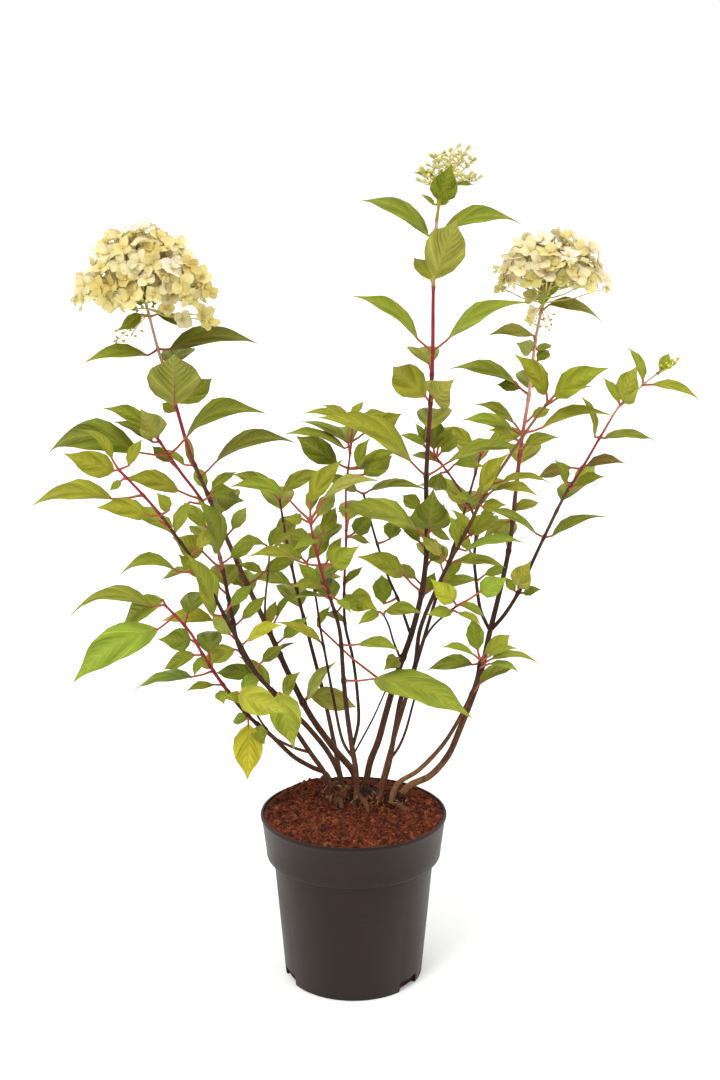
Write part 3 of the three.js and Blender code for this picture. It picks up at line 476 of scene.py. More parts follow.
# A thin closed sheet: rows of points across its columns. spot gives a point and its normal,
# depth the thickness below it, and the two faces meet in the edge.
def addSheet(sprout, look, rows, columns, spot, depth, tint, rowShare):
    line = [(-1, u) for u in reversed(columns[1:])] + [(1, u) for u in columns]
    count = len(line)
    points, tints, places, index = [], [], [], {}
    under = []
    for k in range(rows + 1):
        share = k / rows
        for c, (hand, u) in enumerate(line):
            point, above = spot(share, hand, u, k)
            points.append(point)
            tints.append(tint(share, u, 0 if u == 1 else 1))
            places.append(Vector((hand * u, k * rowShare, 0 if u == 1 else 1)))
            if u < 1:
                under.append((k, c, point - above * depth(share, u)))
            else:
                index[k, c] = k * count + c
    for k, c, point in under:
        hand, u = line[c]
        index[k, c] = len(points)
        points.append(point)
        tints.append(tint(k / rows, u, -1))
        places.append(Vector((hand * u, k * rowShare, -1)))
    faces = []
    for k in range(rows):
        for c in range(count - 1):
            a = k * count + c
            faces.append([a, a + count, a + count + 1, a + 1])
            faces.append([index[k, c], index[k, c + 1], index[k + 1, c + 1], index[k + 1, c]])
    for k in (0, rows):
        loop = [k * count + c for c in range(count)] + [index[k, c] for c in range(count - 2, 0, -1)]
        faces.append(loop[::-1] if k else loop)
    sprout.add(points, faces, look, tints, places)


def addLeaf(sprout, joint, base, tip, normal, width, rise, tone, stalkTint, dice):
    shape = leafShape
    chord = tip - base
    length = chord.length
    along = chord.normalized()
    side = normal.cross(along).normalized()
    veins, rowsEach = (7, 5) if length > shape["large"] else (6, 4) if length > shape["small"] else (5, 3)
    rows = (veins + 1) * rowsEach
    columns = shape["columns"] if length > shape["small"] else shape["fewColumns"]
    curl = shape["curl"] * dice.uniform(0.2, 1.6)
    wave = shape["wave"] * width * dice.uniform(0.4, 1.5)
    turns, phase = dice.uniform(1.1, 2.2), dice.uniform(0, math.tau)
    twist = shape["twist"] * dice.uniform(-1, 1)
    upper = tones[tone]
    if tone in ("olive", "dark"):
        low = smooth((leafTint["freshBelow"] - base.z) / leafTint["freshOver"])
        upper = upper.lerp(tones["bright"], leafTint["fresh"] * low)
    upper = upper * dice.uniform(*leafTint["light"])
    upper.x *= dice.uniform(*leafTint["red"])
    # the underside is paler: partly its own colour, partly painted light shining through the leaf
    lower = upper.lerp(tones["pale"], leafTint["under"])
    rib = upper.lerp(stalkTint, leafTint["ribStalk"]).lerp(tones["pale"], leafTint["ribPale"])

    def place(share, hand, u, k):
        lean = share + (1 - share) * shape["sweep"] * u ** 1.1 * smooth(share / 0.18)
        half = max(width / 2 * leafOutline(lean), 0.7 if share < 0.5 else 0.12)
        if u == 1 and 0 < k < rows:
            half *= 1 - shape["tooth"] * (k % 2)
        lift = shape["fold"] * half * u - curl * half * u * u
        lift += wave * u * u * math.sin(math.tau * turns * lean + phase + 1.4 * hand) * leafOutline(lean)
        bed = math.sin(math.pi * min(1, u * 0.94 + 0.06)) ** 0.6 * leafOutline(lean)
        lift -= shape["quilt"] * width * bed * math.cos(math.tau * k / rowsEach)
        lift -= shape["groove"] * (1 - share) * max(0, 1 - u / shape["rib"])
        turn = twist * (lean - 0.4)
        aside = side * math.cos(turn) + normal * math.sin(turn)
        above = normal * math.cos(turn) - side * math.sin(turn)
        centre = base + chord * lean + normal * (rise * 4 * lean * (1 - lean))
        return centre + aside * (hand * half * u) + above * lift, above

    def depth(share, u):
        ridge = shape["ridge"] * (1 - 0.8 * share) * max(0, 1 - u / shape["rib"])
        return shape["thick"] * (1 - u ** 4) + ridge

    def tint(share, u, face):
        onRib = max(0, 1 - u / 0.07)
        if face < 0:
            return lower.lerp(rib, onRib * 0.7)
        shade = upper.lerp(rib, onRib * 0.8)
        return shade if face > 0 else lower.lerp(shade, 0.6)

    addSheet(sprout, 1, rows, columns, place, depth, tint, 1 / rowsEach)

    stalk = base - joint
    middle = joint + stalk * 0.5 + Vector((0, 0, -0.03 * stalk.length))
    spine = [joint - stalk.normalized() * 0.6, joint + stalk * 0.15, middle, base]
    radii = list(shape["petiole"])
    for share in shape["petioleRings"]:
        centre, above = place(share, 1, 0, 0)
        spine.append(centre - above * (shape["thick"] + 0.35 * (1 - share)))
        radii.append(1.05 * (1 - share) + 0.1)
    sides = shape["petioleSides"]
    addTube(sprout, spine, radii, sides, 0, lambda s: stalkTint.lerp(lower, smooth((s - 0.45) * 2)))


# A leaf as it is seen in front: the height of its joint, x and z of where the blade starts and
# of its tip, its width as seen and how far back its tip lies. Some also give the rise of their
# arch, 1 or -1 for the face that shows, and their tone.
def leafAsSeen(sprout, route, leaf, stalkTint, dice):
    leaf += (None, 1, "olive")[len(leaf) - 7:]
    height, baseX, baseZ, tipX, tipZ, width, reach, rise, face, tone = leaf
    joint = route.joint(height)[0]
    flat = seen((tipX, tipZ, joint.y + reach))
    share = (joint - seen((baseX, baseZ, joint.y))).length / max(1, (joint - flat).length)
    base = seen((baseX, baseZ, joint.y + reach * min(0.9, share)))
    chord = flat - base
    trueWidth = max(width, chord.length * leafShape["slender"])
    acrossView = chord.cross(eye - base).normalized()
    towards = acrossView.cross(chord).normalized()
    if acrossView.z < 0:
        acrossView.negate()
    shown = min(1, width / trueWidth)
    normal = (towards * shown * face + acrossView * math.sqrt(1 - shown * shown)).normalized()
    rise = chord.length * leafShape["arch"] if rise is None else rise
    addLeaf(sprout, joint, base, flat, normal, trueWidth, rise, tone, stalkTint, dice)


# A leaf that the canes hide: the height of its joint, the turn that it points to, its length.
def leafBehind(sprout, route, leaf, stalkTint, dice):
    height, turn, length = leaf
    joint = route.joint(height)[0]
    out = level(math.radians(turn))
    base = joint + out * hiddenLeaf["out"] + upwards * hiddenLeaf["up"]
    tip = base + out * length + upwards * length * hiddenLeaf["slope"]
    normal = (tip - base).cross(Vector((-out.y, out.x, 0))).normalized()
    width, rise = length * leafShape["slender"], length * hiddenLeaf["rise"]
    addLeaf(sprout, joint, base, tip, normal, width, rise, hiddenLeaf["tone"], stalkTint, dice)


# A small leaf at a joint, to one side and away from the viewer, its face half to the front.
def leafBetween(sprout, route, height, hand, stalkTint, dice):
    leaf = smallLeaf
    joint = route.joint(height)[0]
    out = level(math.radians(90 - hand * dice.uniform(*leaf["turn"])))
    base = joint + out * leaf["out"] + upwards * leaf["up"]
    tip = base + out * dice.uniform(*leaf["length"]) + upwards * dice.uniform(*leaf["climb"])
    along = (tip - base).normalized()
    face = upwards * dice.uniform(*leaf["face"]) - Vector((0, 1, 0))
    normal = (face - along * face.dot(along)).normalized()
    tone = dice.choice(leaf["tones"])
    width = dice.uniform(*leaf["width"])
    addLeaf(sprout, joint, base, tip, normal, width, leaf["rise"], tone, stalkTint, dice)


# Bark up a cane: the tone at heights as seen, from old wood to the young shoot.
barkTable = [
    (190, "tan"), (260, "brown"), (340, "dark"), (430, "dark"), (500, "maroon"), (580, "crimson"),
]

stemShape = {
    "step": 2.6,  # from ring to ring
    "fewest": 6,
    "stout": 0.46,  # the radius, over the thickness given
    "knot": 0.34,  # how far a joint swells, over the radius
    "knotReach": 2.6,
    "scar": 0.35,  # how much darker the line at a joint is
    "scarReach": 1.8,
    "uneven": 0.05,
    "old": 230,  # up to this height the bark is old, and from young on it is smooth
    "young": 560,
}


def barkAt(height, table):
    if height <= table[0][0]:
        return barkTones[table[0][1]].copy()
    for (low, first), (high, second) in zip(table, table[1:]):
        if height <= high:
            return barkTones[first].lerp(barkTones[second], smooth((height - low) / (high - low)))
    return barkTones[table[-1][1]].copy()


def addStem(sprout, route, thick, table, joints, sides):
    shape = stemShape
    count = max(shape["fewest"], int(route.length / shape["step"]))
    knots = [route.joint(height)[1] for height in joints]
    lowest = joints[0] if joints else 1

    def nearJoint(distance, reach):  # 1 at a joint, falling to 0 on both sides of it
        return max((math.exp(-((distance - place) / reach) ** 2) for place in knots), default=0)

    centres, radii = [], []
    for k in range(count + 1):
        distance = route.length * k / count
        radius = mix(thick[0], thick[1], k / count) * shape["stout"]
        knot = nearJoint(distance, shape["knotReach"])
        bumps = noise.noise(Vector((distance * 0.09, thick[0] * 7, lowest)))
        centres.append(route.atLength(distance))
        radii.append(radius * (1 + shape["knot"] * knot + shape["uneven"] * bumps))

    def tint(share):
        spot = centres[round(share * count)]
        scar = nearJoint(route.length * share, shape["scarReach"])
        return barkAt(sightHeight(spot), table) * (1 - shape["scar"] * scar)

    def place(share, angle):
        spot = centres[round(share * count)]
        young = smooth((sightHeight(spot) - shape["old"]) / (shape["young"] - shape["old"]))
        return Vector((angle, route.length * share, 1 - young))

    addTube(sprout, centres, radii, sides, 0, tint, place)


def growStem(sprout, route, stem, table, sides, dice):
    leaves, behind = stem.get("leaves", []), stem.get("behind", [])
    joints = sorted({leaf[0] for leaf in leaves} | {leaf[0] for leaf in behind})
    addStem(sprout, route, stem["thick"], table, joints, sides)
    for leaf in leaves:
        leafAsSeen(sprout, route, leaf, stalkTone(leaf[0]), dice)
    for leaf in behind:
        leafBehind(sprout, route, leaf, stalkTone(leaf[0]), dice)
    for place in stem.get("buds", []):
        addBudTuft(sprout, route.at(0.98), seen(place), dice)
    low, high, count = stem.get("fill", (0, 0, 0))  # from where to where, and how many small leaves
    for k in range(count):
        height = mix(low, high, (k + 0.5) / count)
        leafBetween(sprout, route, height, (-1) ** k, stalkTone(height), dice)


def stalkTone(height):  # petioles are rose below and turn pale green near the top
    return barkTones["rose"].lerp(tones["light"], 0.15 + 0.75 * smooth((height - 640) / 60))


# The share along a bud and its radius there: slim, and roundest past its middle.
budProfile = ((0, 0.35), (0.3, 0.6), (0.6, 0.95), (0.82, 0.9), (0.95, 0.5), (1, 0.12))


def addBud(sprout, root, tip, radius, tint, look=1):
    centres = [root + (tip - root) * share for share, size in budProfile]
    radii = [radius * size for share, size in budProfile]
    addTube(sprout, centres, radii, 7, look, lambda share: tint * (0.85 + 0.25 * share))


budTuft = {"buds": 9, "spread": 7.5, "reach": 8, "bud": 1.8, "stalk": (1, 0.9, 0.7), "ray": (0.45, 0.4)}


def addBudTuft(sprout, root, centre, dice):
    tuft, green = budTuft, tones["light"]
    addTube(sprout, [root, root.lerp(centre, 0.5), centre], tuft["stalk"], 6, 0, green)
    for k in range(tuft["buds"]):
        angle = k * goldenTurn
        share = (k + 0.5) / tuft["buds"]
        start = root.lerp(centre, 0.4 + 0.58 * share)
        spread = tuft["spread"] * (1 - 0.45 * share) * dice.uniform(0.7, 1.1)
        climb = tuft["reach"] * (0.35 + 0.5 * share)
        out = Vector((math.cos(angle) * spread, math.sin(angle) * spread, climb))
        addTube(sprout, [start, start + out * 0.5], tuft["ray"], 5, 0, green)
        addBud(sprout, start + out * 0.45, start + out * dice.uniform(0.9, 1.1), tuft["bud"], green)


caneTops = {}  # where each cane ends, its direction there and its thickness, for the flower heads
footHeights = (164, 178)  # every cane starts inside the crown


def growCane(name, cane):
    dice = random.Random(name)
    sprout = Sprout()
    x, y = cane["foot"]
    foot = [Vector((x, y, z)) for z in footHeights]
    route = Route(foot + [seen(place) for place in cane["route"]])
    caneTops[name] = (route.at(1), (route.at(1) - route.at(0.99)).normalized(), cane["thick"][1])
    table = cane.get("bark", barkTable)
    growStem(sprout, route, cane, table, 12, dice)
    for shoot in cane.get("shoots", []):
        side = Route([seen(place) for place in shoot["route"]])
        growStem(sprout, side, shoot, shoot.get("bark", table), 10, dice)
    sprout.finish(name + "_leafy", [stems.material, leaves.material], [name])
    print(name, "grown")


tallCane = {
    "bark": [
        (178, "tan"), (200, "brown"), (340, "dark"), (500, "dark"), (600, "maroon"), (640, "crimson"),
        (700, "crimson"), (716, "pink"),
    ],
    "foot": (11, 30),
    "thick": (8, 3),
    "route": [
        (13, 206, 27), (17, 228, 22), (25, 250, 17), (33, 281, 12), (46, 328, 4), (57, 360, 0),
        (67, 402, -4), (72, 445, -6), (72, 480, -8), (71, 520, -8), (74, 585, -6), (76, 642, -4),
        (76, 700, 0), (78, 760, 2), (80, 781, 4),
    ],
    "fill": (388, 492, 6),
    "leaves": [
        (766, 81, 784, 92, 818, 27, -42, 3), (757, 71, 752, 5, 784, 17, 22, 12),
        (757, 85, 757, 158, 763, 16, 18, 12), (706, 77, 712, 97, 767, 40, -62, 4, -1, "pale"),
        (706, 74, 711, 57, 732, 16, 34, 3), (645, 62, 655, 0, 696, 15, -14, 10),
        (645, 90, 655, 169, 690, 16, -18, 12), (596, 70, 600, 38, 629, 34, 46, 6),
        (596, 77, 600, 97, 617, 36, -50, 8, 1, "pale"), (524, 57, 536, -34, 580, 25, -34, 14),
        (524, 90, 535, 166, 549, 14, -30, 10), (460, 62, 470, -16, 487, 25, -40, 12, 1, "light"),
        (460, 75, 470, 78, 510, 40, -66, 6, 1, "dark"),
        (457, 74, 470, 96, 458, 10, 20, None, 1, "dark"), (407, 50, 423, 3, 442, 22, -30, 8),
        (407, 84, 412, 120, 417, 12, 26, 5), (338, 44, 338, 30, 325, 18, -34, 4),
        (781, 76, 781, 64, 790, 5, 8), (781, 82, 781, 91, 784, 5, -8),
        (784, 76, 806, 57, 810, 6, 12), (784, 96, 800, 112, 799, 5, 14),
    ],
    "behind": [(560, 80, 78), (450, 100, 72), (620, 100, 70)],
    "shoots": [
        {
            "thick": (3.4, 2.2),
            "route": [
                (57, 362, 0), (45, 397, 12), (35, 420, 24), (25, 450, 36), (17, 478, 46),
                (10, 505, 54),
            ],
            "leaves": [
                (505, 17, 509, 75, 508, 9, 24, 6), (505, 4, 508, -30, 522, 14, -14, 4),
                (455, 36, 460, 40, 478, 20, 34, None, 1, "dark"),
                (400, 30, 394, 28, 424, 22, 40, 4),
            ],
        },
        {
            "thick": (2.8, 2),
            "route": [
                (48, 335, 3), (40, 355, -9), (35, 372, -18), (30, 383, -24),
            ],
            "leaves": [
                (383, 32, 387, 69, 384, 15, -22, 5, 1, "dark"), (383, 26, 386, 4, 372, 12, -16, 4),
            ],
        },
    ],
}
growCane("tall_cane", tallCane)

centreCane = {
    "bark": [
        (178, "tan"), (200, "brown"), (330, "dark"), (390, "dark"), (430, "crimson"), (480, "rose"),
    ],
    "foot": (3, 11),
    "thick": (7, 2.6),
    "route": [
        (3, 206, 12), (2, 222, 9), (-1, 240, 6), (-7, 285, -2), (-10, 318, -10), (-14, 368, -20),
        (-23, 400, -28), (-32, 430, -36), (-40, 465, -44), (-42, 478, -48),
    ],
    "fill": (372, 486, 5),
    "leaves": [
        (478, -64, 501, -120, 512, 15, -20, 9), (478, -30, 500, 25, 518, 13, -26, 9, 1, "pale"),
        (478, -42, 497, -10, 539, 20, 14, 6), (478, -42, 488, -33, 515, 14, 36, 3),
        (432, -50, 436, -104, 442, 10, -26, 7), (432, -22, 434, 6, 453, 24, -40, 5),
        (408, -30, 412, -62, 411, 13, -24, 5), (313, 20, 316, 120, 274, 33, -62, 12, 1, "bright"),
        (350, 4, 352, 46, 345, 13, -36, 6), (476, -50, 480, -68, 480, 12, -24, 3),
        (404, -16, 398, -2, 384, 9, -24, 3), (404, -30, 402, -60, 398, 7, -24, 4),
        (458, -34, 458, -60, 448, 9, -20, 4), (458, -30, 466, -17, 492, 16, 30, 3),
    ],
    "behind": [(444, 75, 62), (385, 105, 66)],
    "shoots": [
        {
            "thick": (4, 2),
            "route": [
                (-1, 243, 6), (5, 270, 13), (4, 300, 20), (-1, 340, 26), (-8, 371, 30),
                (-9, 410, 32), (-7, 460, 34), (-7, 510, 32), (-3, 545, 28), (0, 579, 24),
            ],
            "leaves": [
                (402, -3, 402, 24, 388, 26, -38, 4, 1, "yellow"),
                (579, -6, 577, -48, 584, 8, -14, 5), (579, 4, 577, 34, 584, 9, -12, 4),
                (556, 12, 566, 47, 584, 20, 24, 5), (556, -6, 556, -53, 576, 9, 26, 6),
                (553, -8, 550, -67, 564, 10, -20, 7),
                (530, -16, 536, -55, 562, 26, 30, 5, 1, "dark"),
                (530, 4, 532, 16, 560, 14, -26, 3), (530, 5, 530, 44, 547, 15, -18, 5),
                (524, 10, 524, 38, 543, 22, 36, 4), (579, -1, 580, 10, 596, 9, 20),
                (579, -6, 580, -30, 592, 8, 22, 3), (462, -2, 462, 17, 455, 8, 14),
                (462, 1, 466, 20, 485, 20, -26, 3, 1, "dark"),
                (374, -10, 376, -30, 384, 9, 24, 3, 1, "dark"), (413, -8, 415, 10, 432, 9, 20),
            ],
            "behind": [(468, 80, 66), (545, 100, 60)],
        },
        {
            "thick": (2.4, 1.8),
            "route": [
                (0, 236, 7), (10, 255, 2), (20, 275, -2), (34, 308, -6),
            ],
            "leaves": [
                (365, -36, 372, -22, 392, 9, 22),
            ],
        },
        {
            "thick": (3.6, 2.2),
            "route": [
                (1, 230, 8), (-10, 248, 12), (-20, 295, 14), (-27, 335, 8), (-33, 370, 2),
                (-38, 405, -2), (-46, 436, -6),
            ],
            "leaves": [
                (350, -33, 355, -78, 375, 10, 18, 5, 1, "yellow"),
                (438, -50, 440, -76, 456, 14, 4, 3), (438, -44, 440, -22, 462, 16, 26, 3),
            ],
            "behind": [(405, 70, 58)],
        },
    ],
}
growCane("centre_cane", centreCane)

leftCane = {
    "bark": [
        (178, "tan"), (200, "brown"), (320, "dark"), (420, "brown"), (520, "brown"), (560, "crimson"),
        (610, "crimson"), (650, "pink"),
    ],
    "foot": (2, 47),
    "thick": (8, 3),
    "route": [
        (0, 216, 46), (-18, 240, 48), (-42, 275, 50), (-62, 315, 50), (-84, 366, 48),
        (-104, 412, 46), (-124, 460, 44), (-140, 500, 42), (-158, 545, 38), (-174, 605, 34),
        (-186, 645, 30), (-194, 679, 28),
    ],
    "fill": (325, 490, 3),
    "leaves": [
        (677, -201, 679, -224, 663, 14, -16, 5), (677, -186, 679, -158, 665, 11, 16, 4, 1, "dark"),
        (645, -196, 640, -257, 633, 14, -24, 7), (645, -175, 646, -91, 651, 20, 22, 12, 1, "dark"),
        (598, -172, 592, -171, 641, 54, -72, 5, -1, "pale"),
        (598, -165, 594, -135, 618, 22, 32, 5), (520, -133, 537, -55, 555, 17, 18, 15, 1, "dark"),
        (505, -138, 508, -112, 527, 11, 26, 4), (498, -136, 502, -106, 498, 30, -52, 6, 1, "dark"),
        (534, -158, 536, -163, 565, 10, 18), (412, -88, 426, -55, 440, 16, 22, 5),
        (366, -84, 372, -76, 398, 12, 24, 3, 1, "light"), (366, -76, 380, -60, 405, 8, 24, 3),
        (290, -45, 300, 3, 286, 25, 20, 7, 1, "pale"),
        (290, -47, 294, -17, 334, 14, -14, 5, 1, "pale"), (598, -172, 586, -184, 594, 13, 18),
        (342, -78, 344, -57, 354, 5, 14, 2, 1, "brown"),
        (505, -144, 510, -153, 532, 15, 24, 3, 1, "light"),
        (416, -112, 424, -120, 448, 8, 18, 3, 1, "light"), (534, -164, 534, -190, 549, 8, 22, 3),
    ],
    "behind": [(622, 80, 74), (475, 90, 78), (395, 115, 66)],
    "shoots": [
        {
            "thick": (2.8, 2),
            "route": [
                (-88, 376, 47), (-87, 400, 37), (-84, 426, 28), (-82, 452, 20),
            ],
            "leaves": [
                (450, -82, 452, -68, 476, 13, 22, 3), (450, -78, 452, -55, 466, 8, -14, 3),
                (450, -86, 454, -120, 450, 11, -12, 9), (426, -90, 426, -114, 434, 10, 14, 4),
            ],
        },
    ],
}
growCane("left_cane", leftCane)

leftRedCane = {
    "bark": [
        (178, "tan"), (200, "brown"), (330, "dark"), (400, "dark"), (450, "maroon"), (510, "crimson"),
    ],
    "foot": (-12, 33),
    "thick": (6.5, 2.8),
    "route": [
        (-14, 213, 32), (-25, 237, 28), (-41, 259, 22), (-66, 287, 14), (-96, 320, 6),
        (-114, 350, 0), (-121, 385, -4), (-128, 425, -8), (-135, 457, -12), (-148, 498, -18),
        (-168, 527, -24), (-190, 561, -30),
    ],
    "fill": (355, 545, 6),
    "leaves": [
        (561, -196, 566, -241, 589, 16, -26, 8),
        (561, -188, 562, -205, 589, 28, -46, 4, 1, "pale"),
        (556, -194, 556, -233, 576, 11, 18, 5, 1, "dark"),
        (543, -208, 546, -296, 544, 30, 30, 24, 1, "dark"),
        (543, -162, 560, -84, 584, 20, -22, 17, 1, "dark"),
        (500, -170, 508, -226, 519, 20, -26, 9),
        (495, -160, 497, -176, 462, 14, -20, 3, 1, "light"),
        (428, -148, 447, -178, 462, 26, -42, 4, 1, "light"),
        (428, -132, 447, -152, 500, 23, -54, 7, 1, "dark"),
        (376, -140, 377, -192, 375, 16, 26, 7, 1, "yellow"),
        (376, -124, 378, -114, 405, 14, 22, 3, 1, "grey"),
        (345, -118, 347, -150, 337, 20, 24, 4, 1, "light"),
        (318, -99, 320, -138, 322, 18, 24, 5, 1, "dark"), (304, -84, 307, -115, 340, 14, 20, 5),
        (300, -70, 298, -53, 324, 15, -24, 3),
    ],
    "behind": [(440, 115, 70), (400, 100, 66)],
}
growCane("left_red_cane", leftRedCane)

farLeftCane = {
    "bark": [(178, "tan"), (200, "brown"), (330, "dark"), (465, "dark"), (500, "crimson")],
    "foot": (-20, 20),
    "thick": (6, 2.6),
    "route": [
        (-28, 213, 16), (-44, 238, 6), (-60, 264, -4), (-80, 300, -18), (-97, 322, -28),
        (-112, 350, -38), (-128, 382, -48), (-149, 425, -58), (-172, 460, -66), (-190, 486, -72),
        (-213, 513, -78), (-228, 529, -80),
    ],
    "fill": (312, 485, 6),
    "leaves": [
        (529, -232, 528, -281, 545, 25, -24, 7), (529, -234, 540, -264, 568, 10, 26, 8),
        (529, -218, 533, -204, 559, 12, 22, 3), (504, -235, 500, -315, 492, 18, 18, 12),
        (484, -199, 483, -252, 491, 20, -26, 7), (427, -174, 427, -231, 423, 13, -24, 15),
        (427, -160, 428, -190, 418, 8, 22, 3), (382, -139, 382, -165, 446, 22, -28, 6),
        (298, -74, 302, -60, 242, 33, -34, 6, 1, "light"),
        (350, -106, 356, -70, 372, 14, -24, 5, 1, "yellow"), (522, -226, 518, -238, 508, 8, -14),
        (484, -180, 489, -192, 507, 14, -28, 3),
    ],
    "behind": [(455, 140, 66)],
    "shoots": [
        {
            "thick": (3.6, 2.2),
            "route": [
                (-44, 238, 6), (-60, 243, -8), (-80, 254, -22), (-90, 266, -30), (-101, 285, -38),
            ],
            "leaves": [
                (284, -116, 301, -66, 280, 30, -46, 8, 1, "light"),
                (284, -104, 292, -134, 296, 13, -22, 4),
            ],
        },
    ],
}
growCane("far_left_cane", farLeftCane)

leftLowCane = {
    "bark": [(178, "tan"), (200, "brown"), (290, "dark"), (320, "crimson"), (380, "rose")],
    "foot": (-24, 38),
    "thick": (6, 2.6),
    "route": [
        (-27, 214, 38), (-42, 222, 34), (-60, 233, 28), (-84, 257, 16), (-105, 276, 4),
        (-126, 303, -10), (-149, 339, -28), (-162, 364, -40), (-177, 382, -50), (-187, 393, -56),
    ],
    "fill": (283, 330, 2),
    "leaves": [
        (393, -188, 398, -229, 372, 22, 30, 6), (393, -199, 391, -284, 378, 13, 14, 18),
        (382, -194, 368, -281, 312, 35, -40, 14, 1, "bright"),
        (352, -162, 357, -195, 357, 24, -38, 5, 1, "dark"), (342, -158, 341, -190, 325, 15, 20, 4),
        (324, -162, 318, -222, 302, 11, 22, 8, 1, "bright"),
        (311, -140, 310, -168, 303, 9, -16, 3),
        (277, -106, 268, -108, 208, 32, -30, 5, 1, "yellow"),
        (268, -97, 266, -90, 246, 20, -34, 3), (277, -104, 276, -122, 270, 12, 20, 3),
        (339, -150, 340, -160, 318, 10, -20), (303, -134, 303, -130, 289, 14, -30, 2),
    ],
    "behind": [(372, 80, 60), (330, 95, 60)],
}
growCane("left_low_cane", leftLowCane)

fanCane = {
    "bark": [
        (178, "tan"), (200, "brown"), (330, "dark"), (430, "dark"), (470, "brown"), (540, "tan"),
        (590, "tan"),
    ],
    "foot": (27, 12),
    "thick": (6.5, 2.6),
    "route": [
        (30, 202, 10), (36, 226, 4), (42, 262, -4), (49, 300, -12), (61, 328, -18), (66, 366, -26),
        (79, 402, -34), (95, 437, -42), (111, 468, -50), (128, 504, -58), (152, 543, -66),
        (175, 578, -74), (187, 594, -78),
    ],
    "fill": (400, 470, 3),
    "leaves": [
        (594, 186, 603, 154, 641, 20, -24, 6), (594, 193, 601, 245, 628, 24, -34, 7),
        (562, 156, 574, 117, 593, 11, -22, 6, 1, "dark"), (562, 154, 568, 104, 577, 13, 18, 7),
        (566, 182, 570, 250, 582, 12, -20, 9), (500, 124, 505, 151, 545, 18, -30, 5),
        (500, 137, 509, 180, 503, 10, -22, 6), (496, 126, 492, 150, 494, 14, -26, 3),
        (515, 146, 518, 193, 515, 7, 18, 6), (452, 110, 448, 168, 456, 11, -26, 8, 1, "bright"),
        (452, 102, 452, 92, 485, 12, -18, 4), (468, 116, 463, 95, 490, 10, 16, 4),
        (436, 103, 437, 150, 431, 11, 16, 6), (496, 120, 494, 96, 502, 10, -24, 4),
        (558, 156, 559, 130, 568, 9, -18, 3), (592, 195, 598, 230, 610, 8, 20, 4),
    ],
    "shoots": [
        {
            "thick": (3.2, 2),
            "route": [
                (61, 328, -18), (68, 352, -34), (80, 372, -46), (93, 384, -54), (104, 393, -58),
            ],
            "leaves": [
                (392, 125, 406, 153, 421, 22, -28, 4, 1, "bright"),
                (392, 100, 396, 76, 420, 21, -26, 4, 1, "yellow"),
                (392, 106, 393, 130, 380, 9, 16, 4), (384, 98, 386, 72, 382, 13, -20, 4),
                (388, 104, 385, 127, 372, 8, -22, 3),
            ],
        },
        {
            "thick": (3.4, 2.4),
            "route": [
                (37, 230, 3), (46, 244, 0), (53, 262, -2), (60, 290, -4), (66, 312, -6),
            ],
        },
    ],
}
growCane("fan_cane", fanCane)

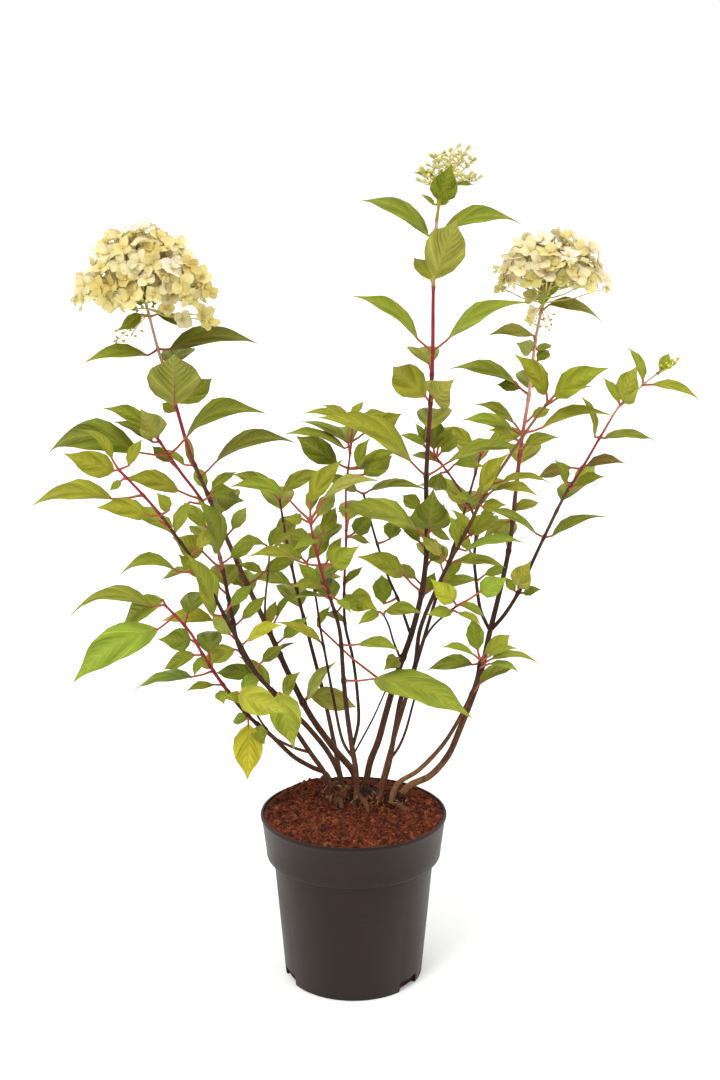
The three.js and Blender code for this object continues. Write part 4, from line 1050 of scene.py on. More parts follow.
rightCane = {
    "bark": [
        (190, "tan"), (250, "brown"), (330, "dark"), (430, "dark"), (500, "brown"), (560, "rose"),
        (610, "pink"),
    ],
    "foot": (46, 21),
    "thick": (8, 3),
    "route": [
        (57, 202, 22), (78, 213, 24), (96, 235, 24), (107, 262, 22), (118, 292, 20),
        (127, 320, 18), (136, 366, 16), (143, 398, 16), (150, 432, 18), (155, 465, 20),
        (158, 503, 22), (163, 558, 24), (169, 602, 26), (174, 655, 28), (179, 684, 30),
    ],
    "fill": (560, 642, 3),
    "leaves": [
        (682, 186, 688, 237, 671, 11, 18, 8, 1, "pale"),
        (652, 172, 659, 129, 659, 13, -18, 6, 1, "pale"),
        (604, 156, 613, 92, 627, 14, 20, 9), (478, 151, 477, 127, 460, 10, 18, 4),
        (484, 157, 488, 182, 496, 12, 24, 4), (545, 166, 552, 200, 560, 12, 26, 5),
        (684, 181, 689, 182, 702, 12, 26, 2, 1, "pale"),
        (648, 176, 645, 190, 650, 8, 22, None, 1, "pale"),
        (648, 171, 645, 155, 652, 18, -28, 3, 1, "pale"),
    ],
    "behind": [(600, 80, 74), (448, 95, 70), (525, 75, 74)],
    "shoots": [
        {
            "thick": (4.6, 2),
            "route": [
                (136, 366, 16), (150, 383, 12), (164, 407, 8), (177, 438, 2), (190, 468, -6),
                (206, 503, -14), (222, 530, -22), (240, 563, -30), (257, 592, -36),
                (270, 604, -38), (283, 616, -40), (292, 623, -42),
            ],
            "leaves": [
                (407, 163, 411, 175, 438, 24, -42, 4, 1, "light"),
                (462, 180, 465, 130, 489, 10, -18, 6), (462, 195, 463, 249, 482, 10, 18, 7),
                (513, 208, 517, 195, 539, 12, -20, 3),
                (513, 214, 516, 235, 533, 18, 28, 4, 1, "light"),
                (510, 217, 514, 245, 522, 12, -24, 4),
                (530, 212, 531, 179, 520, 14, 20, 5, 1, "brown"),
                (530, 226, 533, 264, 535, 12, -20, 6, 1, "brown"),
                (560, 234, 561, 219, 601, 8, -18, 5), (560, 243, 560, 293, 557, 9, 20, 6),
                (592, 256, 594, 239, 619, 10, 18, 3),
                (592, 260, 594, 273, 631, 24, -44, 4, 1, "light"),
                (612, 278, 616, 262, 648, 10, 20, 4), (612, 286, 612, 333, 597, 10, -16, 6),
                (405, 160, 407, 150, 421, 10, 14), (405, 168, 405, 186, 409, 10, -18),
                (623, 294, 625, 302, 642, 12, 16, 2),
            ],
            "behind": [(488, 60, 60)],
            "buds": [(309, 632, -42)],
        },
        {
            "thick": (4.2, 2.2),
            "route": [
                (136, 366, 16), (131, 376, 24), (126, 388, 32), (121, 420, 42), (119, 440, 48),
                (120, 462, 52), (118, 482, 56), (112, 497, 58), (100, 515, 60), (90, 529, 60),
                (79, 543, 60),
            ],
            "fill": (405, 500, 4),
            "leaves": [
                (543, 78, 549, 79, 580, 24, 34, 4, 1, "dark"), (543, 70, 552, 44, 563, 9, 16, 4),
                (541, 85, 546, 101, 563, 16, 30, 3), (527, 85, 526, 80, 508, 22, 30, 3),
                (527, 98, 534, 128, 531, 11, 20, 4), (541, 68, 553, 60, 575, 9, 26, 3),
                (536, 80, 538, 56, 543, 9, 24, 3), (498, 112, 501, 90, 512, 9, 26, 3),
                (541, 82, 550, 97, 570, 11, 18, 3),
            ],
            "behind": [(455, 70, 60)],
        },
    ],
}
growCane("right_cane", rightCane)

rightLowCane = {
    "foot": (38, 3),
    "thick": (6.5, 3),
    "route": [
        (44, 203, 0), (65, 218, -6), (84, 238, -14), (95, 253, -20), (108, 277, -28),
        (121, 308, -38), (127, 337, -46),
    ],
    "leaves": [
        (336, 124, 346, 118, 381, 19, 14, 5), (336, 121, 341, 88, 349, 9, -20, 5),
        (332, 119, 331, 74, 325, 15, 32, 6, 1, "dark"), (336, 131, 342, 156, 362, 18, 28, 4),
        (334, 134, 339, 164, 348, 9, -18, 4), (330, 138, 337, 187, 331, 8, 20, 7),
        (328, 136, 332, 166, 323, 8, -20, 4),
    ],
    "behind": [(300, 40, 52)],
}
growCane("right_low_cane", rightLowCane)

backLeftCane = {
    "foot": (-12, 60),
    "thick": (6, 2.6),
    "route": [
        (-14, 216, 62), (-20, 250, 72), (-30, 300, 90), (-42, 350, 108), (-54, 400, 124),
        (-64, 450, 138), (-72, 500, 150),
    ],
    "leaves": [
        (500, -78, 506, -118, 524, 18, 20, 8), (500, -68, 508, -28, 526, 18, 24, 8),
        (455, -72, 460, -60, 484, 22, 50, 4), (410, -62, 414, -108, 418, 14, 30, 8),
        (410, -48, 414, -8, 420, 12, 34, 7),
    ],
    "behind": [(480, 100, 84), (432, 80, 80), (380, 110, 74)],
}
growCane("back_left_cane", backLeftCane)

backRightCane = {
    "foot": (28, 46),
    "thick": (6, 2.6),
    "route": [
        (31, 214, 52), (40, 250, 66), (54, 300, 84), (68, 350, 100), (82, 400, 114),
        (98, 450, 128), (112, 500, 140), (124, 545, 150),
    ],
    "leaves": [
        (545, 116, 550, 84, 570, 18, 26, 7), (545, 130, 552, 168, 566, 18, 22, 7),
        (500, 108, 505, 60, 512, 14, 30, 8), (500, 120, 504, 160, 514, 12, 34, 8),
        (452, 100, 457, 110, 484, 20, 48, 5), (405, 90, 409, 126, 418, 12, 30, 6),
    ],
    "behind": [(525, 90, 84), (475, 70, 80), (425, 105, 76)],
}
growCane("back_right_cane", backRightCane)


petalTones = {
    "cream": linear(222, 204, 130),
    "pale": linear(228, 213, 158),
    "white": linear(235, 223, 192),
    "ochre": linear(208, 184, 102),
    "olive": linear(176, 166, 92),
    "faded": linear(227, 211, 164),
}

sepalShape = {
    "length": 13,
    "width": 12.4,
    "thick": 0.35,
    "droop": 0.16,  # how far the tip bends back, over the length
    "wave": 0.14,
    "dish": 0.15,
    "columns": (0, 0.4, 0.75, 1),
    "rows": 6,
}


def addSepal(sprout, heart, out, facing, size, cup, tint, heartTint, dice):
    shape = sepalShape
    length, width = shape["length"] * size * dice.uniform(0.9, 1.08), shape["width"] * size
    side = facing.cross(out).normalized()
    bend, wave, phase = cup * length, shape["wave"] * width, dice.uniform(0, math.tau)

    def spot(share, hand, u, k):
        bulge = math.sin(math.pi * min(1, 0.04 + 0.96 * share ** 1.1)) ** 0.62
        half = max(0.9 - share * 0.6, width / 2 * bulge)
        lift = bend * share ** 1.5 - shape["droop"] * length * smooth(share) ** 2
        lift += shape["dish"] * half * u * u + wave * u * math.sin(phase + 5 * share + hand)
        return heart + out * (length * share) + side * (hand * half * u) + facing * lift, facing

    def colour(share, u, face):
        return heartTint.lerp(tint, smooth(share * 1.7 + 0.1))

    addSheet(
        sprout, 2, shape["rows"], shape["columns"], spot,
        lambda share, u: shape["thick"] * (1 - u ** 3), colour, 1 / shape["rows"],
    )


floretShape = {
    "lobes": 4,
    "stalk": (0.75, 0.6, 0.55, 0.7),
    "cups": (0.5, 0.22),  # how steeply the lobes rise, and how high they sit: inner and outer pair
    "seats": (0.7, 0.2),
    "eye": 1.2,
}


def addFloret(sprout, root, centre, facing, size, tone, dice):
    shape = floretShape
    facing = facing.normalized()
    across = facing.orthogonal().normalized()
    other = facing.cross(across)
    spin, tint = dice.uniform(0, math.tau), petalTones[tone] * dice.uniform(0.93, 1.06)
    heartTint = tint.lerp(petalTones["ochre"], 0.6)
    bend = root.lerp(centre, 0.55) - facing * 1.5
    stalk = [root, bend, centre - facing * 1.2, centre]
    addTube(sprout, stalk, shape["stalk"], 6, 2, lambda s: tones["light"].lerp(tint, 0.35 + 0.3 * s))
    for k in range(shape["lobes"]):
        angle = spin + k * math.tau / shape["lobes"] + dice.uniform(-0.12, 0.12)
        out = across * math.cos(angle) + other * math.sin(angle)
        cup = shape["cups"][k % 2] * dice.uniform(0.2, 2)
        heart = centre + facing * shape["seats"][k % 2]
        addSepal(sprout, heart, out, facing, size, cup, tint, heartTint, dice)
    addBud(sprout, centre, centre + facing * 2.6, shape["eye"], petalTones["ochre"], 2)


def addBract(sprout, root, tip, width, tone, dice):  # a small plain leaf on a flower stalk
    along = tip - root
    normal = along.cross(eye - root).normalized().cross(along).normalized()
    addLeaf(sprout, root, root.lerp(tip, 0.12), tip, normal, width, 2, tone, tones["light"], dice)


def headStalk(sprout, head, tone, rings, thin):  # the stalk goes on from the end of the cane
    point, way, thick = caneTops[head["cane"]]
    route = Route([point + way * 0.35, point + way * 4] + [seen(place) for place in head["route"]])
    spine = [route.at(k / rings) for k in range(rings + 1)]
    addTube(sprout, spine, [mix(thick / 2, thin, k / rings) for k in range(rings + 1)], 10, 0, tone)
    return route


headRays = {  # radii from the stalk outwards
    "floret": (1, 0.85, 0.7),
    "stray": (0.9, 0.7, 0.6),
    "bud": (0.5, 0.4),
    "dangle": (0.6, 0.5, 0.4),
    "hanging": (0.35, 0.3),
    "group": (0.9, 0.75, 0.6),
    "groupBud": (0.5, 0.5),
}


# A head of open flowers. front gives florets on its near side as they are seen: x, z, size
# and tone. strays stand at its lower edge, and dangles are rays of small buds that hang below,
# each with its x, z and y.
def growHead(name, head):
    dice = random.Random(name)
    sprout = Sprout()
    rachisTone = barkTones["pink"].lerp(tones["pale"], head["green"])
    route = headStalk(sprout, head, rachisTone, rings=14, thin=1.5)
    core, dome = route.at(1), head["dome"]
    rayTone = petalTones["cream"].lerp(tones["light"], 0.35)
    placed = []

    def onDome(out, polar, reach):  # a place in the dome, which narrows to the top like a blunt cone
        wide = dome["radius"] * (1 - dome["pinch"] * math.sin(2 * polar))
        return core + Vector((out.x * wide, out.y * wide, out.z * dome["height"])) * reach

    def add(place, out, size, tone):
        facing = out + Vector([dice.uniform(-0.55, 0.55) for _ in range(3)]) + Vector((0, -0.1, 0.2))
        start = route.at(0.55).lerp(core, dice.random())
        root = start.lerp(place, 0.42) + Vector((0, 0, -3))
        addTube(sprout, [start, start.lerp(root, 0.5) - upwards, root], headRays["floret"], 6, 0, rayTone)
        addFloret(sprout, root, place, facing, size, tone, dice)
        placed.append(place)

    for x, z, size, tone in head["front"]:
        flat = seen((x, z, core.y))
        offX = (flat.x - core.x) / (dome["radius"] * 1.06)
        offZ = (flat.z - core.z) / (dome["height"] * 1.06)
        deep = math.sqrt(max(0.02, 1 - offX * offX - offZ * offZ))
        spot = seen((x, z, core.y - dome["radius"] * deep * 0.92))
        out = Vector((offX, -deep * 1.1, offZ * dome["radius"] / dome["height"])).normalized()
        add(spot, out, size, tone)
    for k in range(dome["florets"]):
        polar = math.acos(1 - (1 - math.cos(dome["skirt"])) * (k + 0.5) / dome["florets"])
        out = outward(polar, k * goldenTurn)
        spot = onDome(out, polar, 1 - 0.1 * (k % 3))
        if all((spot - other).length > dome["spacing"] for other in placed):
            add(spot, out, dice.uniform(0.82, 1), dice.choice(head["tones"]))
    for x, z, y, size, tone in head["strays"]:
        spot = seen((x, z, y))
        start = route.at(0.35)
        facing = (spot - start).normalized() + Vector((0, -0.8, 0.3))
        spine = [start, start.lerp(spot, 0.5) - upwards * 2, spot.lerp(start, 0.2)]
        addTube(sprout, spine, headRays["stray"], 6, 0, rayTone)
        addFloret(sprout, spot.lerp(start, 0.22), spot, facing, size, tone, dice)
    for k in range(head["buds"]):  # the fertile buds between the florets
        polar = math.acos(dice.uniform(math.cos(dome["skirt"]), 1))
        out = outward(polar, dice.uniform(0, math.tau))
        spot = onDome(out, polar, dice.uniform(0.68, 0.97))
        addTube(sprout, [spot.lerp(core, 0.28), spot], headRays["bud"], 5, 0, rayTone)
        tint = petalTones["olive"].lerp(petalTones["pale"], dice.uniform(0.2, 1))
        addBud(sprout, spot, spot + (out + Vector((0, 0, 0.3))).normalized() * 3.6, 1.5, tint, 2)
    for x, z, y, count in head["dangles"]:
        start, end = route.at(0.02), seen((x, z, y))
        bow = start.lerp(end, 0.6) + upwards * 2
        addTube(sprout, [start, bow, end], headRays["dangle"], 5, 0, rayTone)
        for k in range(count):
            foot = bow.lerp(end, (k + 0.5) / count)
            out = Vector((math.cos(k * goldenTurn), math.sin(k * goldenTurn), dice.uniform(-1, 0.4))) * 4
            addTube(sprout, [foot, foot + out], headRays["hanging"], 5, 0, rayTone)
            tint = tones["light"].lerp(petalTones["pale"], 0.5)
            addBud(sprout, foot + out * 0.9, foot + out * 1.9, 1.3, tint, 2)
    for baseX, baseZ, tipX, tipZ, y, width, tone in head["bracts"]:
        addBract(sprout, seen((baseX, baseZ, y)), seen((tipX, tipZ, y - 6)), width, tone, dice)
    sprout.finish(name + "_open", [stems.material, leaves.material, petals.material], [name])
    print(name, "grown")


leftFlowerHead = {
    "cane": "left_cane",
    "green": 0.35,
    "route": [(-196, 687, 27), (-197, 694, 27), (-197, 702, 27)],
    "dome": {"radius": 61, "height": 56, "pinch": 0.22, "florets": 96, "spacing": 10, "skirt": 1.72},
    "tones": ["cream", "cream", "pale", "ochre", "pale"],
    "front": [
        (-254, 693, 0.95, "cream"), (-254, 706, 0.95, "pale"), (-238, 722, 1.05, "cream"),
        (-230, 736, 0.9, "pale"), (-232, 746, 0.72, "ochre"), (-220, 749, 0.85, "pale"),
        (-217, 740, 0.8, "cream"), (-206, 754, 0.75, "ochre"), (-197, 758, 0.85, "white"),
        (-198, 746, 0.95, "pale"), (-183, 750, 0.85, "cream"), (-190, 738, 0.85, "ochre"),
        (-202, 728, 0.85, "pale"), (-209, 721, 0.8, "pale"), (-190, 727, 0.85, "cream"),
        (-175, 740, 0.85, "cream"), (-163, 735, 1.05, "pale"), (-171, 722, 1, "white"),
        (-154, 723, 0.9, "ochre"), (-167, 744, 0.8, "cream"), (-143, 714, 0.82, "cream"),
        (-141, 705, 0.85, "ochre"), (-135, 699, 0.7, "ochre"), (-210, 697, 1.2, "cream"),
        (-228, 706, 0.9, "ochre"), (-231, 692, 0.85, "cream"), (-220, 690, 0.8, "cream"),
        (-214, 711, 0.75, "ochre"), (-195, 713, 0.8, "pale"), (-189, 698, 0.7, "cream"),
        (-163, 708, 0.95, "cream"), (-159, 695, 0.85, "cream"), (-221, 726, 0.8, "pale"),
        (-177, 706, 0.8, "pale"), (-181, 716, 0.8, "cream"),
    ],
    "strays": [
        (-144, 678, 14, 0.92, "cream"), (-162, 674, 4, 0.8, "pale"), (-177, 685, -10, 0.7, "cream"),
        (-228, 688, 0, 0.82, "cream"), (-137, 672, 8, 0.66, "ochre"),
    ],
    "buds": 260,
    "dangles": [(-226, 653, 14, 7), (-214, 655, 22, 5), (-231, 660, 20, 4)],
    "bracts": [
        (-205, 682, -213, 690, 20, 7, "dark"), (-200, 686, -206, 697, 16, 6, "dark"),
        (-190, 686, -184, 700, 18, 6, "dark"), (-162, 700, -148, 706, 0, 6, "dark"),
    ],
}
growHead("left_flower_head", leftFlowerHead)

rightFlowerHead = {
    "cane": "right_cane",
    "green": 0.75,
    "route": [(181, 692, 31), (184, 702, 31), (187, 712, 31)],
    "dome": {"radius": 49, "height": 39, "pinch": 0.12, "florets": 72, "spacing": 10, "skirt": 1.66},
    "tones": ["faded", "faded", "pale", "cream"],
    "front": [
        (160, 741, 0.9, "faded"), (178, 749, 0.95, "white"), (198, 750, 0.9, "cream"),
        (209, 747, 0.9, "white"), (222, 739, 0.9, "faded"), (231, 728, 0.85, "faded"),
        (151, 732, 0.95, "faded"), (146, 721, 0.8, "faded"), (143, 712, 0.85, "olive"),
        (158, 722, 0.95, "pale"), (184, 736, 0.95, "cream"), (203, 733, 0.95, "white"),
        (217, 728, 0.9, "pale"), (213, 715, 0.95, "faded"), (176, 728, 0.9, "faded"),
        (222, 711, 0.95, "cream"), (168, 738, 0.85, "pale"), (192, 724, 0.8, "cream"),
        (153, 711, 0.85, "faded"), (169, 711, 0.9, "olive"), (206, 722, 0.85, "cream"),
        (197, 712, 0.7, "olive"),
    ],
    "strays": [
        (240, 703, 30, 0.76, "white"), (140, 703, 26, 0.6, "olive"), (169, 696, 8, 0.66, "olive"),
        (171, 682, 4, 0.5, "faded"), (168, 674, 0, 0.45, "cream"),
    ],
    "buds": 190,
    "dangles": [(184, 662, 26, 4), (172, 668, 30, 4), (188, 672, 30, 3)],
    "bracts": [
        (178, 690, 168, 704, 20, 5, "pale"), (186, 696, 196, 707, 18, 5, "light"),
        (180, 690, 181, 703, 14, 8, "pale"),
    ],
}
growHead("right_flower_head", rightFlowerHead)

budHead = {
    "cane": "tall_cane",
    "route": [(81, 790, 10), (83, 800, 13), (86, 808, 14)],
    "groups": [  # x, z, y and how many buds
        (66, 811, 4, 8), (74, 817, 22, 6), (79, 826, 10, 9), (88, 823, -8, 9), (94, 830, 20, 9),
        (103, 828, 0, 9), (112, 821, 14, 8), (106, 805, 2, 6), (116, 803, 22, 7), (94, 815, 38, 7),
        (68, 799, -6, 5), (96, 806, -14, 6),
    ],
    "length": 6,
    "radius": 1.9,
}


def growBudHead(name, head):
    dice = random.Random(name)
    sprout = Sprout()
    route = headStalk(sprout, head, tones["light"], rings=12, thin=1)
    groups = head["groups"]
    for order, (x, z, y, count) in enumerate(groups):
        root, centre = route.at(0.45 + 0.5 * order / len(groups)), seen((x, z, y))
        bow = root.lerp(centre, 0.5) - upwards * 2
        rayTone = tones["light"].lerp(petalTones["pale"], 0.6)
        addTube(sprout, [root, bow, centre], headRays["group"], 6, 0, rayTone)
        for k in range(count):
            start = bow.lerp(centre, 0.3 + 0.7 * (k + 0.5) / count)
            angle = k * goldenTurn
            out = Vector((math.cos(angle), math.sin(angle), dice.uniform(0.3, 1.1))).normalized()
            foot = start + out * dice.uniform(2.5, 5)
            stalkTint = tones["light"].lerp(petalTones["pale"], 0.5)
            addTube(sprout, [start, foot], headRays["groupBud"], 5, 0, stalkTint)
            tint = tones["light"].lerp(petalTones["pale"], dice.uniform(0.3, 0.9))
            tip = foot + out * head["length"] * dice.uniform(0.8, 1.15)
            addBud(sprout, foot, tip, head["radius"], tint, 2)
    sprout.finish(name + "_closed", [stems.material, leaves.material, petals.material], [name])
    print(name, "grown")


growBudHead("bud_head", budHead)


woodyCrown = {  # knobs: the middle and the three radii
    "knobs": [(-17, 28, 180, 15, 18, 14), (9, 27, 173, 21, 29, 15), (39, 13, 176, 15, 15, 13)],
    "roots": [
        [(6, 16, 182), (12, 0, 183), (15, -14, 176), (17, -28, 162)],
        [(42, 4, 181), (50, -6, 180), (56, -13, 176), (61, -20, 164)],
        [(-15, 18, 184), (-13, 5, 181), (-12, -5, 176), (-12, -14, 164)],
    ],
    "rootRadii": (3.4, 1.8),
    "rings": 26,
    "sides": 40,
    "rough": 3.6,
    "grooves": 2.6,
    "sunk": 0.8,
    "hollowShadowTone": linear(58, 30, 20),
    "shreds": 70,
    "shredRadii": (0.4, 0.9, 0.3),
    "shredTones": [linear(112, 52, 28), linear(88, 38, 22), linear(140, 96, 62), linear(58, 30, 20)],
}


def oldWood(share, angle):  # the place on a stem, with 1 for its age
    return Vector((angle, share, 1))


def growCrown(name, crown):
    dice = random.Random(name)
    sprout = Sprout()
    rings, sides = crown["rings"], crown["sides"]
    for x, y, z, *radii in crown["knobs"]:
        centre, points, tints = Vector((x, y, z)), [], []

        def onKnob(out):
            return centre + Vector([axis * radius for axis, radius in zip(out, radii)])

        for k in range(rings + 1):
            polar = math.pi * (0.02 + 0.96 * k / rings)
            for s in range(sides):
                out = outward(polar, -s / sides * math.tau)
                spot = onKnob(out)
                rough = noise.fractal(spot * 0.09, 1, 2, 3) * crown["rough"]
                rough += abs(noise.noise(Vector((spot.x, spot.y, spot.z * 0.3)) * 0.35)) * crown["grooves"]
                points.append(spot + out * (rough - crown["sunk"]))
                # painted shade: the knobs run from a shadow tone in their hollows and further right to lit
                # tan on their bulges
                unshaded = smooth(0.3 + rough * 0.2 - (x + 16) * 0.014)
                tints.append(crown["hollowShadowTone"].lerp(barkTones["tan"], unshaded) * (0.45 + 0.4 * unshaded))
        sprout.add(points, ringFaces(rings + 1, sides), 0, tints, [Vector((0, 0, 1))] * len(points))
        for _ in range(crown["shreds"]):
            turn, up = dice.uniform(0, math.tau), dice.uniform(0.15, 0.9)
            wide = math.sqrt(1 - up * up)
            out = Vector((math.cos(turn) * wide, math.sin(turn) * wide, up))
            spot = onKnob(out) + out * 2
            lie = out.cross(Vector([dice.uniform(-1, 1) for _ in range(3)])).normalized()
            spine = [spot - lie * 3, spot + out * dice.uniform(-0.5, 1.5), spot + lie * dice.uniform(2, 4.5)]
            tint = dice.choice(crown["shredTones"]) * dice.uniform(0.7, 1.3)
            addTube(sprout, spine, crown["shredRadii"], 5, 0, tint, oldWood)
    for places in crown["roots"]:
        route = Route([Vector(place) for place in places])
        spine, radii = [], []
        for k in range(31):
            spine.append(route.at(k / 30))
            radii.append(mix(*crown["rootRadii"], k / 30) * (1 + 0.16 * noise.noise(spine[k] * 0.3)))
        addTube(sprout, spine, radii, 12, 0, barkTones["brown"], oldWood)
    sprout.finish(name + "_stool", [stems.material], [name])
    print(name, "grown")


growCrown("crown", woodyCrown)


peat = {
    "edge": 173.2,
    "middle": 179,
    "heap": 4.5,  # loose crumbs at the back rim
    "heapAt": (-50, 72),
    "heapWide": (34, 18),
    # painted shadow: the peat is darkened round the crown, where the canes shade it
    "crownShadow": 0.6,  # darker in the hollows round the crown
    "crownShadowAt": (8, 8),
    "crownShadowWide": (36, 24),
    "radius": 91.6,
    "clods": 4200,
    "clodSizes": [0.8, 1.1, 1.1, 1.4, 1.8, 2.6],
    "fibres": 900,
    "fibreSteps": 6,
    "fibreStep": 2.6,
    "fibreRadii": (0.4, 0.15),
    "sides": 120,
    "rings": 34,
    "under": [(91.2, 160), (88.6, 141), (79.4, 133), (68.4, 3.4)],  # radius and z inside the pot
    # painted shade: the peat's sides and floor inside the pot are tinted dark, as in the pot's shadow
    "paintedShadeBelow": 0.15,
    "tones": [
        linear(104, 46, 26), linear(118, 54, 28), linear(86, 36, 20), linear(134, 72, 42),
        linear(64, 28, 18),
    ],
}

# A crumb is a block with its corners pushed in and out.
crumbCorners = [(a, b, c) for c in (1, -1) for a, b in ((1, 1), (-1, 1), (-1, -1), (1, -1))]
crumbFaces = [[0, 1, 2, 3], [7, 6, 5, 4], [0, 4, 5, 1], [1, 5, 6, 2], [2, 6, 7, 3], [3, 7, 4, 0]]


def nearSpot(x, y, at, wide):  # 1 at a place, falling to 0 around it
    return math.exp(-((x - at[0]) / wide[0]) ** 2 - ((y - at[1]) / wide[1]) ** 2)


def peatHeight(x, y):
    share = min(1, math.hypot(x, y) / peat["radius"])
    spot = Vector((x, y, 0))
    height = peat["middle"] - (peat["middle"] - peat["edge"]) * share ** 3
    height += 1.6 * noise.noise(spot * 0.045) + 1.1 * noise.noise(spot * 0.16)
    heap = peat["heap"] * nearSpot(x, y, peat["heapAt"], peat["heapWide"])
    return height + 0.7 * noise.noise(spot * 0.45) + heap


# the painted shadow under the crown, as a factor on the peat's tint
def paintedShadowOnPeat(x, y):
    return 1 - peat["crownShadow"] * nearSpot(x, y, peat["crownShadowAt"], peat["crownShadowWide"])


def layPeat(name):
    dice = random.Random(11)
    sprout = Sprout()
    sides, rings, radius = peat["sides"], peat["rings"], peat["radius"]
    nowhere = Vector((0, 0, 0))
    profile = [(radius * share, None) for share in [0.004] + [k / rings for k in range(1, rings + 1)]]
    profile += peat["under"]
    points, tints = [], []
    for reach, z in profile:
        for s in range(sides):
            angle = -s / sides * math.tau
            x, y = reach * math.cos(angle), reach * math.sin(angle)
            points.append(Vector((x, y, peatHeight(x, y) if z is None else z)))
            # the top carries the painted shadow round the crown, and the hidden sides and floor carry
            # painted shade
            tints.append(peat["tones"][0] * (paintedShadowOnPeat(x, y) if z is None else peat["paintedShadeBelow"]))
    sprout.add(points, ringFaces(len(profile), sides), 0, tints, [nowhere] * len(points))
    for _ in range(peat["clods"]):
        reach, turn = (radius - 3) * math.sqrt(dice.random()), dice.uniform(0, math.tau)
        x, y = reach * math.cos(turn), reach * math.sin(turn)
        size = dice.choice(peat["clodSizes"]) * dice.uniform(0.7, 1.2)
        centre = Vector((x, y, peatHeight(x, y) + size * 0.2))
        long = Vector((dice.uniform(-1, 1), dice.uniform(-1, 1), dice.uniform(-0.35, 0.35))).normalized()
        wide = long.orthogonal().normalized()
        tall = long.cross(wide)
        corners = []
        for a, b, c in crumbCorners:
            corner = (long * a + wide * b * 0.62 + tall * c * 0.45) * size
            corners.append(centre + corner * dice.uniform(0.65, 1.2))
        tint = dice.choice(peat["tones"]) * dice.uniform(0.8, 1.2) * paintedShadowOnPeat(x, y)
        sprout.add(corners, crumbFaces, 0, [tint] * 8, [nowhere] * 8)
    for _ in range(peat["fibres"]):
        reach, turn = (radius - 6) * math.sqrt(dice.random()), dice.uniform(0, math.tau)
        x, y = reach * math.cos(turn), reach * math.sin(turn)
        heading, spine = dice.uniform(0, math.tau), []
        for _ in range(peat["fibreSteps"]):
            if math.hypot(x, y) > radius - 2:
                break
            spine.append(Vector((x, y, peatHeight(x, y) + 0.7 + dice.uniform(-0.3, 0.8))))
            heading += dice.uniform(-0.5, 0.5)
            x += peat["fibreStep"] * math.cos(heading)
            y += peat["fibreStep"] * math.sin(heading)
        if len(spine) > 2:
            tint = dice.choice(peat["tones"][1:4]) * dice.uniform(0.9, 1.5)
            thick, thin = peat["fibreRadii"]
            addTube(sprout, spine, [thick] * (len(spine) - 1) + [thin], 5, 0, tint)
    sprout.finish(name + "_bed", [peatFinish.material], [name], 35)
    print("peat laid")


layPeat("peat")


nurseryPot = {
    "outside": [  # radius and height, from the foot up; the inside is cut out of it
        (0, 0), (68.6, 0), (70.4, 0.5), (71, 1.6), (82, 129.4), (87.8, 130.2), (88.8, 130.8),
        (89.2, 131.8), (89.6, 138), (93.6, 169.6), (94.2, 170.6), (94.9, 172.2), (95, 173.6),
        (94.6, 174.6), (93.6, 175), (0, 175),
    ],
    "inside": [
        (0, 3), (66, 3), (69.2, 4.5), (79.8, 128), (80.6, 134), (86.4, 136.6), (88.2, 139),
        (91.6, 170), (92, 174.2), (92.8, 176), (0, 176),
    ],
    "notches": {  # at the foot, each with a drain hole of radius hole in its wall
        "turns": (203, 322, 82),
        "from": 71,
        "wide": 27,
        "high": 11,
        "deep": 9,
        "wall": 1.8,
        "round": 1.6,
        "hole": 2.5,
        "holeEnds": (58, 72),
    },
    "sides": 144,
    "sharp": 38,
}


def body(name, points, faces):
    mesh = bpy.data.meshes.new(name)
    mesh.from_pydata([point * metre for point in points], [], faces)
    piece = bpy.data.objects.new(name, mesh)
    bpy.context.scene.collection.objects.link(piece)
    return piece


def turned(name, profile, sides):  # a closed body of revolution from its profile, foot first
    points = []
    for radius, z in profile:
        radius = max(radius, 0.02)
        for s in range(sides):
            angle = s / sides * math.tau
            points.append(Vector((radius * math.cos(angle), radius * math.sin(angle), z)))
    return body(name, points, ringFaces(len(profile), sides))


def settled(piece):  # the piece with its modifiers worked into its mesh
    bpy.context.view_layer.update()
    shaped = piece.evaluated_get(bpy.context.evaluated_depsgraph_get())
    mesh = bpy.data.meshes.new_from_object(shaped)
    piece.modifiers.clear()
    piece.data = mesh
    return piece


def carve(piece, cutters):
    for cutter in cutters:
        cut = piece.modifiers.new("cut", "BOOLEAN")
        cut.object, cut.operation, cut.solver = cutter, "DIFFERENCE", "EXACT"
        settled(piece)


def notchBlocks(grow):  # blocks with rounded edges at the pot's foot
    notches, blocks = nurseryPot["notches"], []
    deep, wide, high = notches["deep"] + grow, notches["wide"] / 2 + grow, notches["high"] + grow
    corners = [Vector((a * deep, b * wide, c * high)) for a in (-1, 1) for b in (-1, 1) for c in (-1, 1)]
    faces = [[0, 1, 3, 2], [4, 6, 7, 5], [0, 4, 5, 1], [2, 3, 7, 6], [0, 2, 6, 4], [1, 5, 7, 3]]
    near = notches["from"]
    for turn in notches["turns"]:
        out = level(math.radians(turn))
        side = Vector((-out.y, out.x, 0))
        spots = [out * (near + corner.x) + side * corner.y + upwards * corner.z for corner in corners]
        block = body("notch_block", spots, faces)
        bevel = block.modifiers.new("round", "BEVEL")
        bevel.width, bevel.segments = (notches["round"] + grow * 0.5) * metre, 3
        blocks.append(settled(block))
    return blocks


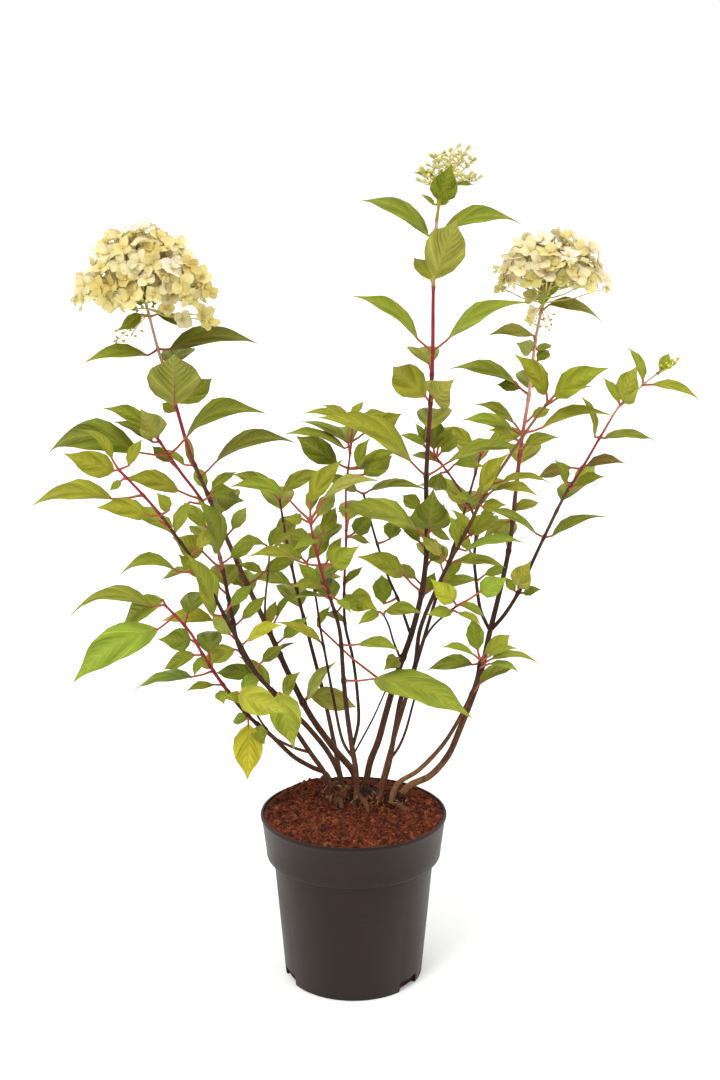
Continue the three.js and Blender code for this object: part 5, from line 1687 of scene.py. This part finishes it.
def mouldPot(name):
    notches = nurseryPot["notches"]
    pot = turned(name + "_moulded", nurseryPot["outside"], nurseryPot["sides"])
    hollow = turned("hollow", nurseryPot["inside"], nurseryPot["sides"])
    inner, outer = notchBlocks(notches["wall"]), notchBlocks(0)
    drains = []
    for turn in notches["turns"]:
        out = level(math.radians(turn))
        ends = [out * reach + upwards * notches["high"] * 0.6 for reach in notches["holeEnds"]]
        drill = Sprout()
        addTube(drill, ends, [notches["hole"]] * 2, 24, 0, Vector((0, 0, 0)))
        drains.append(body("drill", [point / metre for point in drill.points], drill.faces))
    carve(hollow, inner)
    carve(pot, [hollow, *outer, *drains])
    for spare in [hollow, *inner, *outer, *drains]:
        bpy.data.objects.remove(spare)
    pot.data.materials.clear()
    pot.data.materials.append(potFinish.material)
    pot.data.polygons.foreach_set("use_smooth", [True] * len(pot.data.polygons))
    pot.data.set_sharp_from_angle(angle=math.radians(nurseryPot["sharp"]))
    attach(pot, "root")
    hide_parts(name)
    print("pot moulded")


mouldPot("pot")


# The sky lights the plant from above and from behind its edges, and is dimmer at the front,
# as in a white booth. The backdrop itself stays even and white.
studio = {
    "floor": 60,  # metres
    "floorSides": 64,
    "floorRough": 0.9,
    "white": linear(252, 252, 252),
    "backdrop": 1.0,
    "sky": {"front": 0.42, "behind": 1.1, "above": 1.25},
    "suns": [  # from which side, power, and how soft
        ((-0.7, -1.0, 1.5), 1.5, 24),
        ((1.0, -0.5, 0.9), 0.6, 40),
    ],
}


def setStudio(look):
    bpy.context.scene.view_settings.view_transform = "Standard"
    floorFinish = Finish("floor", Roughness=look["floorRough"], Base_Color=(*look["white"], 1))
    sides = look["floorSides"]
    corners = [level(k / sides * math.tau) * look["floor"] for k in range(sides)]
    ground = bpy.data.meshes.new("floor")
    ground.from_pydata(corners, [], [list(range(sides))])
    ground.materials.append(floorFinish.material)
    floor = bpy.data.objects.new("floor", ground)
    bpy.context.scene.collection.objects.link(floor)
    floor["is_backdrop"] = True
    world = bpy.data.worlds.new("studio")
    world.use_nodes = True
    sky = look["sky"]
    start = Wire(world.node_tree, None)
    heading = start.make("ShaderNodeTexCoord")
    onSight = start.make("ShaderNodeLightPath")
    around = heading.part(1).ramp(-0.9, 0.7, sky["front"], sky["behind"])
    light = heading.part(2).ramp(0.1, 0.95, around, sky["above"])
    air = world.node_tree.nodes["Background"]
    strength = light + onSight * (look["backdrop"] - light)
    world.node_tree.links.new(strength.socket, air.inputs["Strength"])
    air.inputs["Color"].default_value = (1, 1, 1, 1)
    bpy.context.scene.world = world
    for number, (side, power, soft) in enumerate(look["suns"]):
        lamp = bpy.data.lights.new("softbox_%d" % number, "SUN")
        lamp.energy, lamp.angle = power, math.radians(soft)
        box = bpy.data.objects.new(lamp.name, lamp)
        box.rotation_euler = Vector(side).to_track_quat("Z", "Y").to_euler()
        bpy.context.scene.collection.objects.link(box)


setStudio(studio)

view = {"pitch": 13.03, "frameHeight": 36, "lens": 52.29, "clipEnd": 200}  # clipEnd in metres
lens = bpy.data.cameras.new("camera")
lens.sensor_fit = "VERTICAL"
lens.sensor_height = view["frameHeight"]
lens.lens = view["lens"]
lens.clip_end = view["clipEnd"]
camera = bpy.data.objects.new("camera", lens)
camera.location = eye * metre
camera.rotation_euler = (math.radians(90 - view["pitch"]), 0, 0)
bpy.context.scene.collection.objects.link(camera)
bpy.context.scene.camera = camera

bpy.context.view_layer.update()
[[list(corner) for corner in box] for box in (cadBox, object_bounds())]
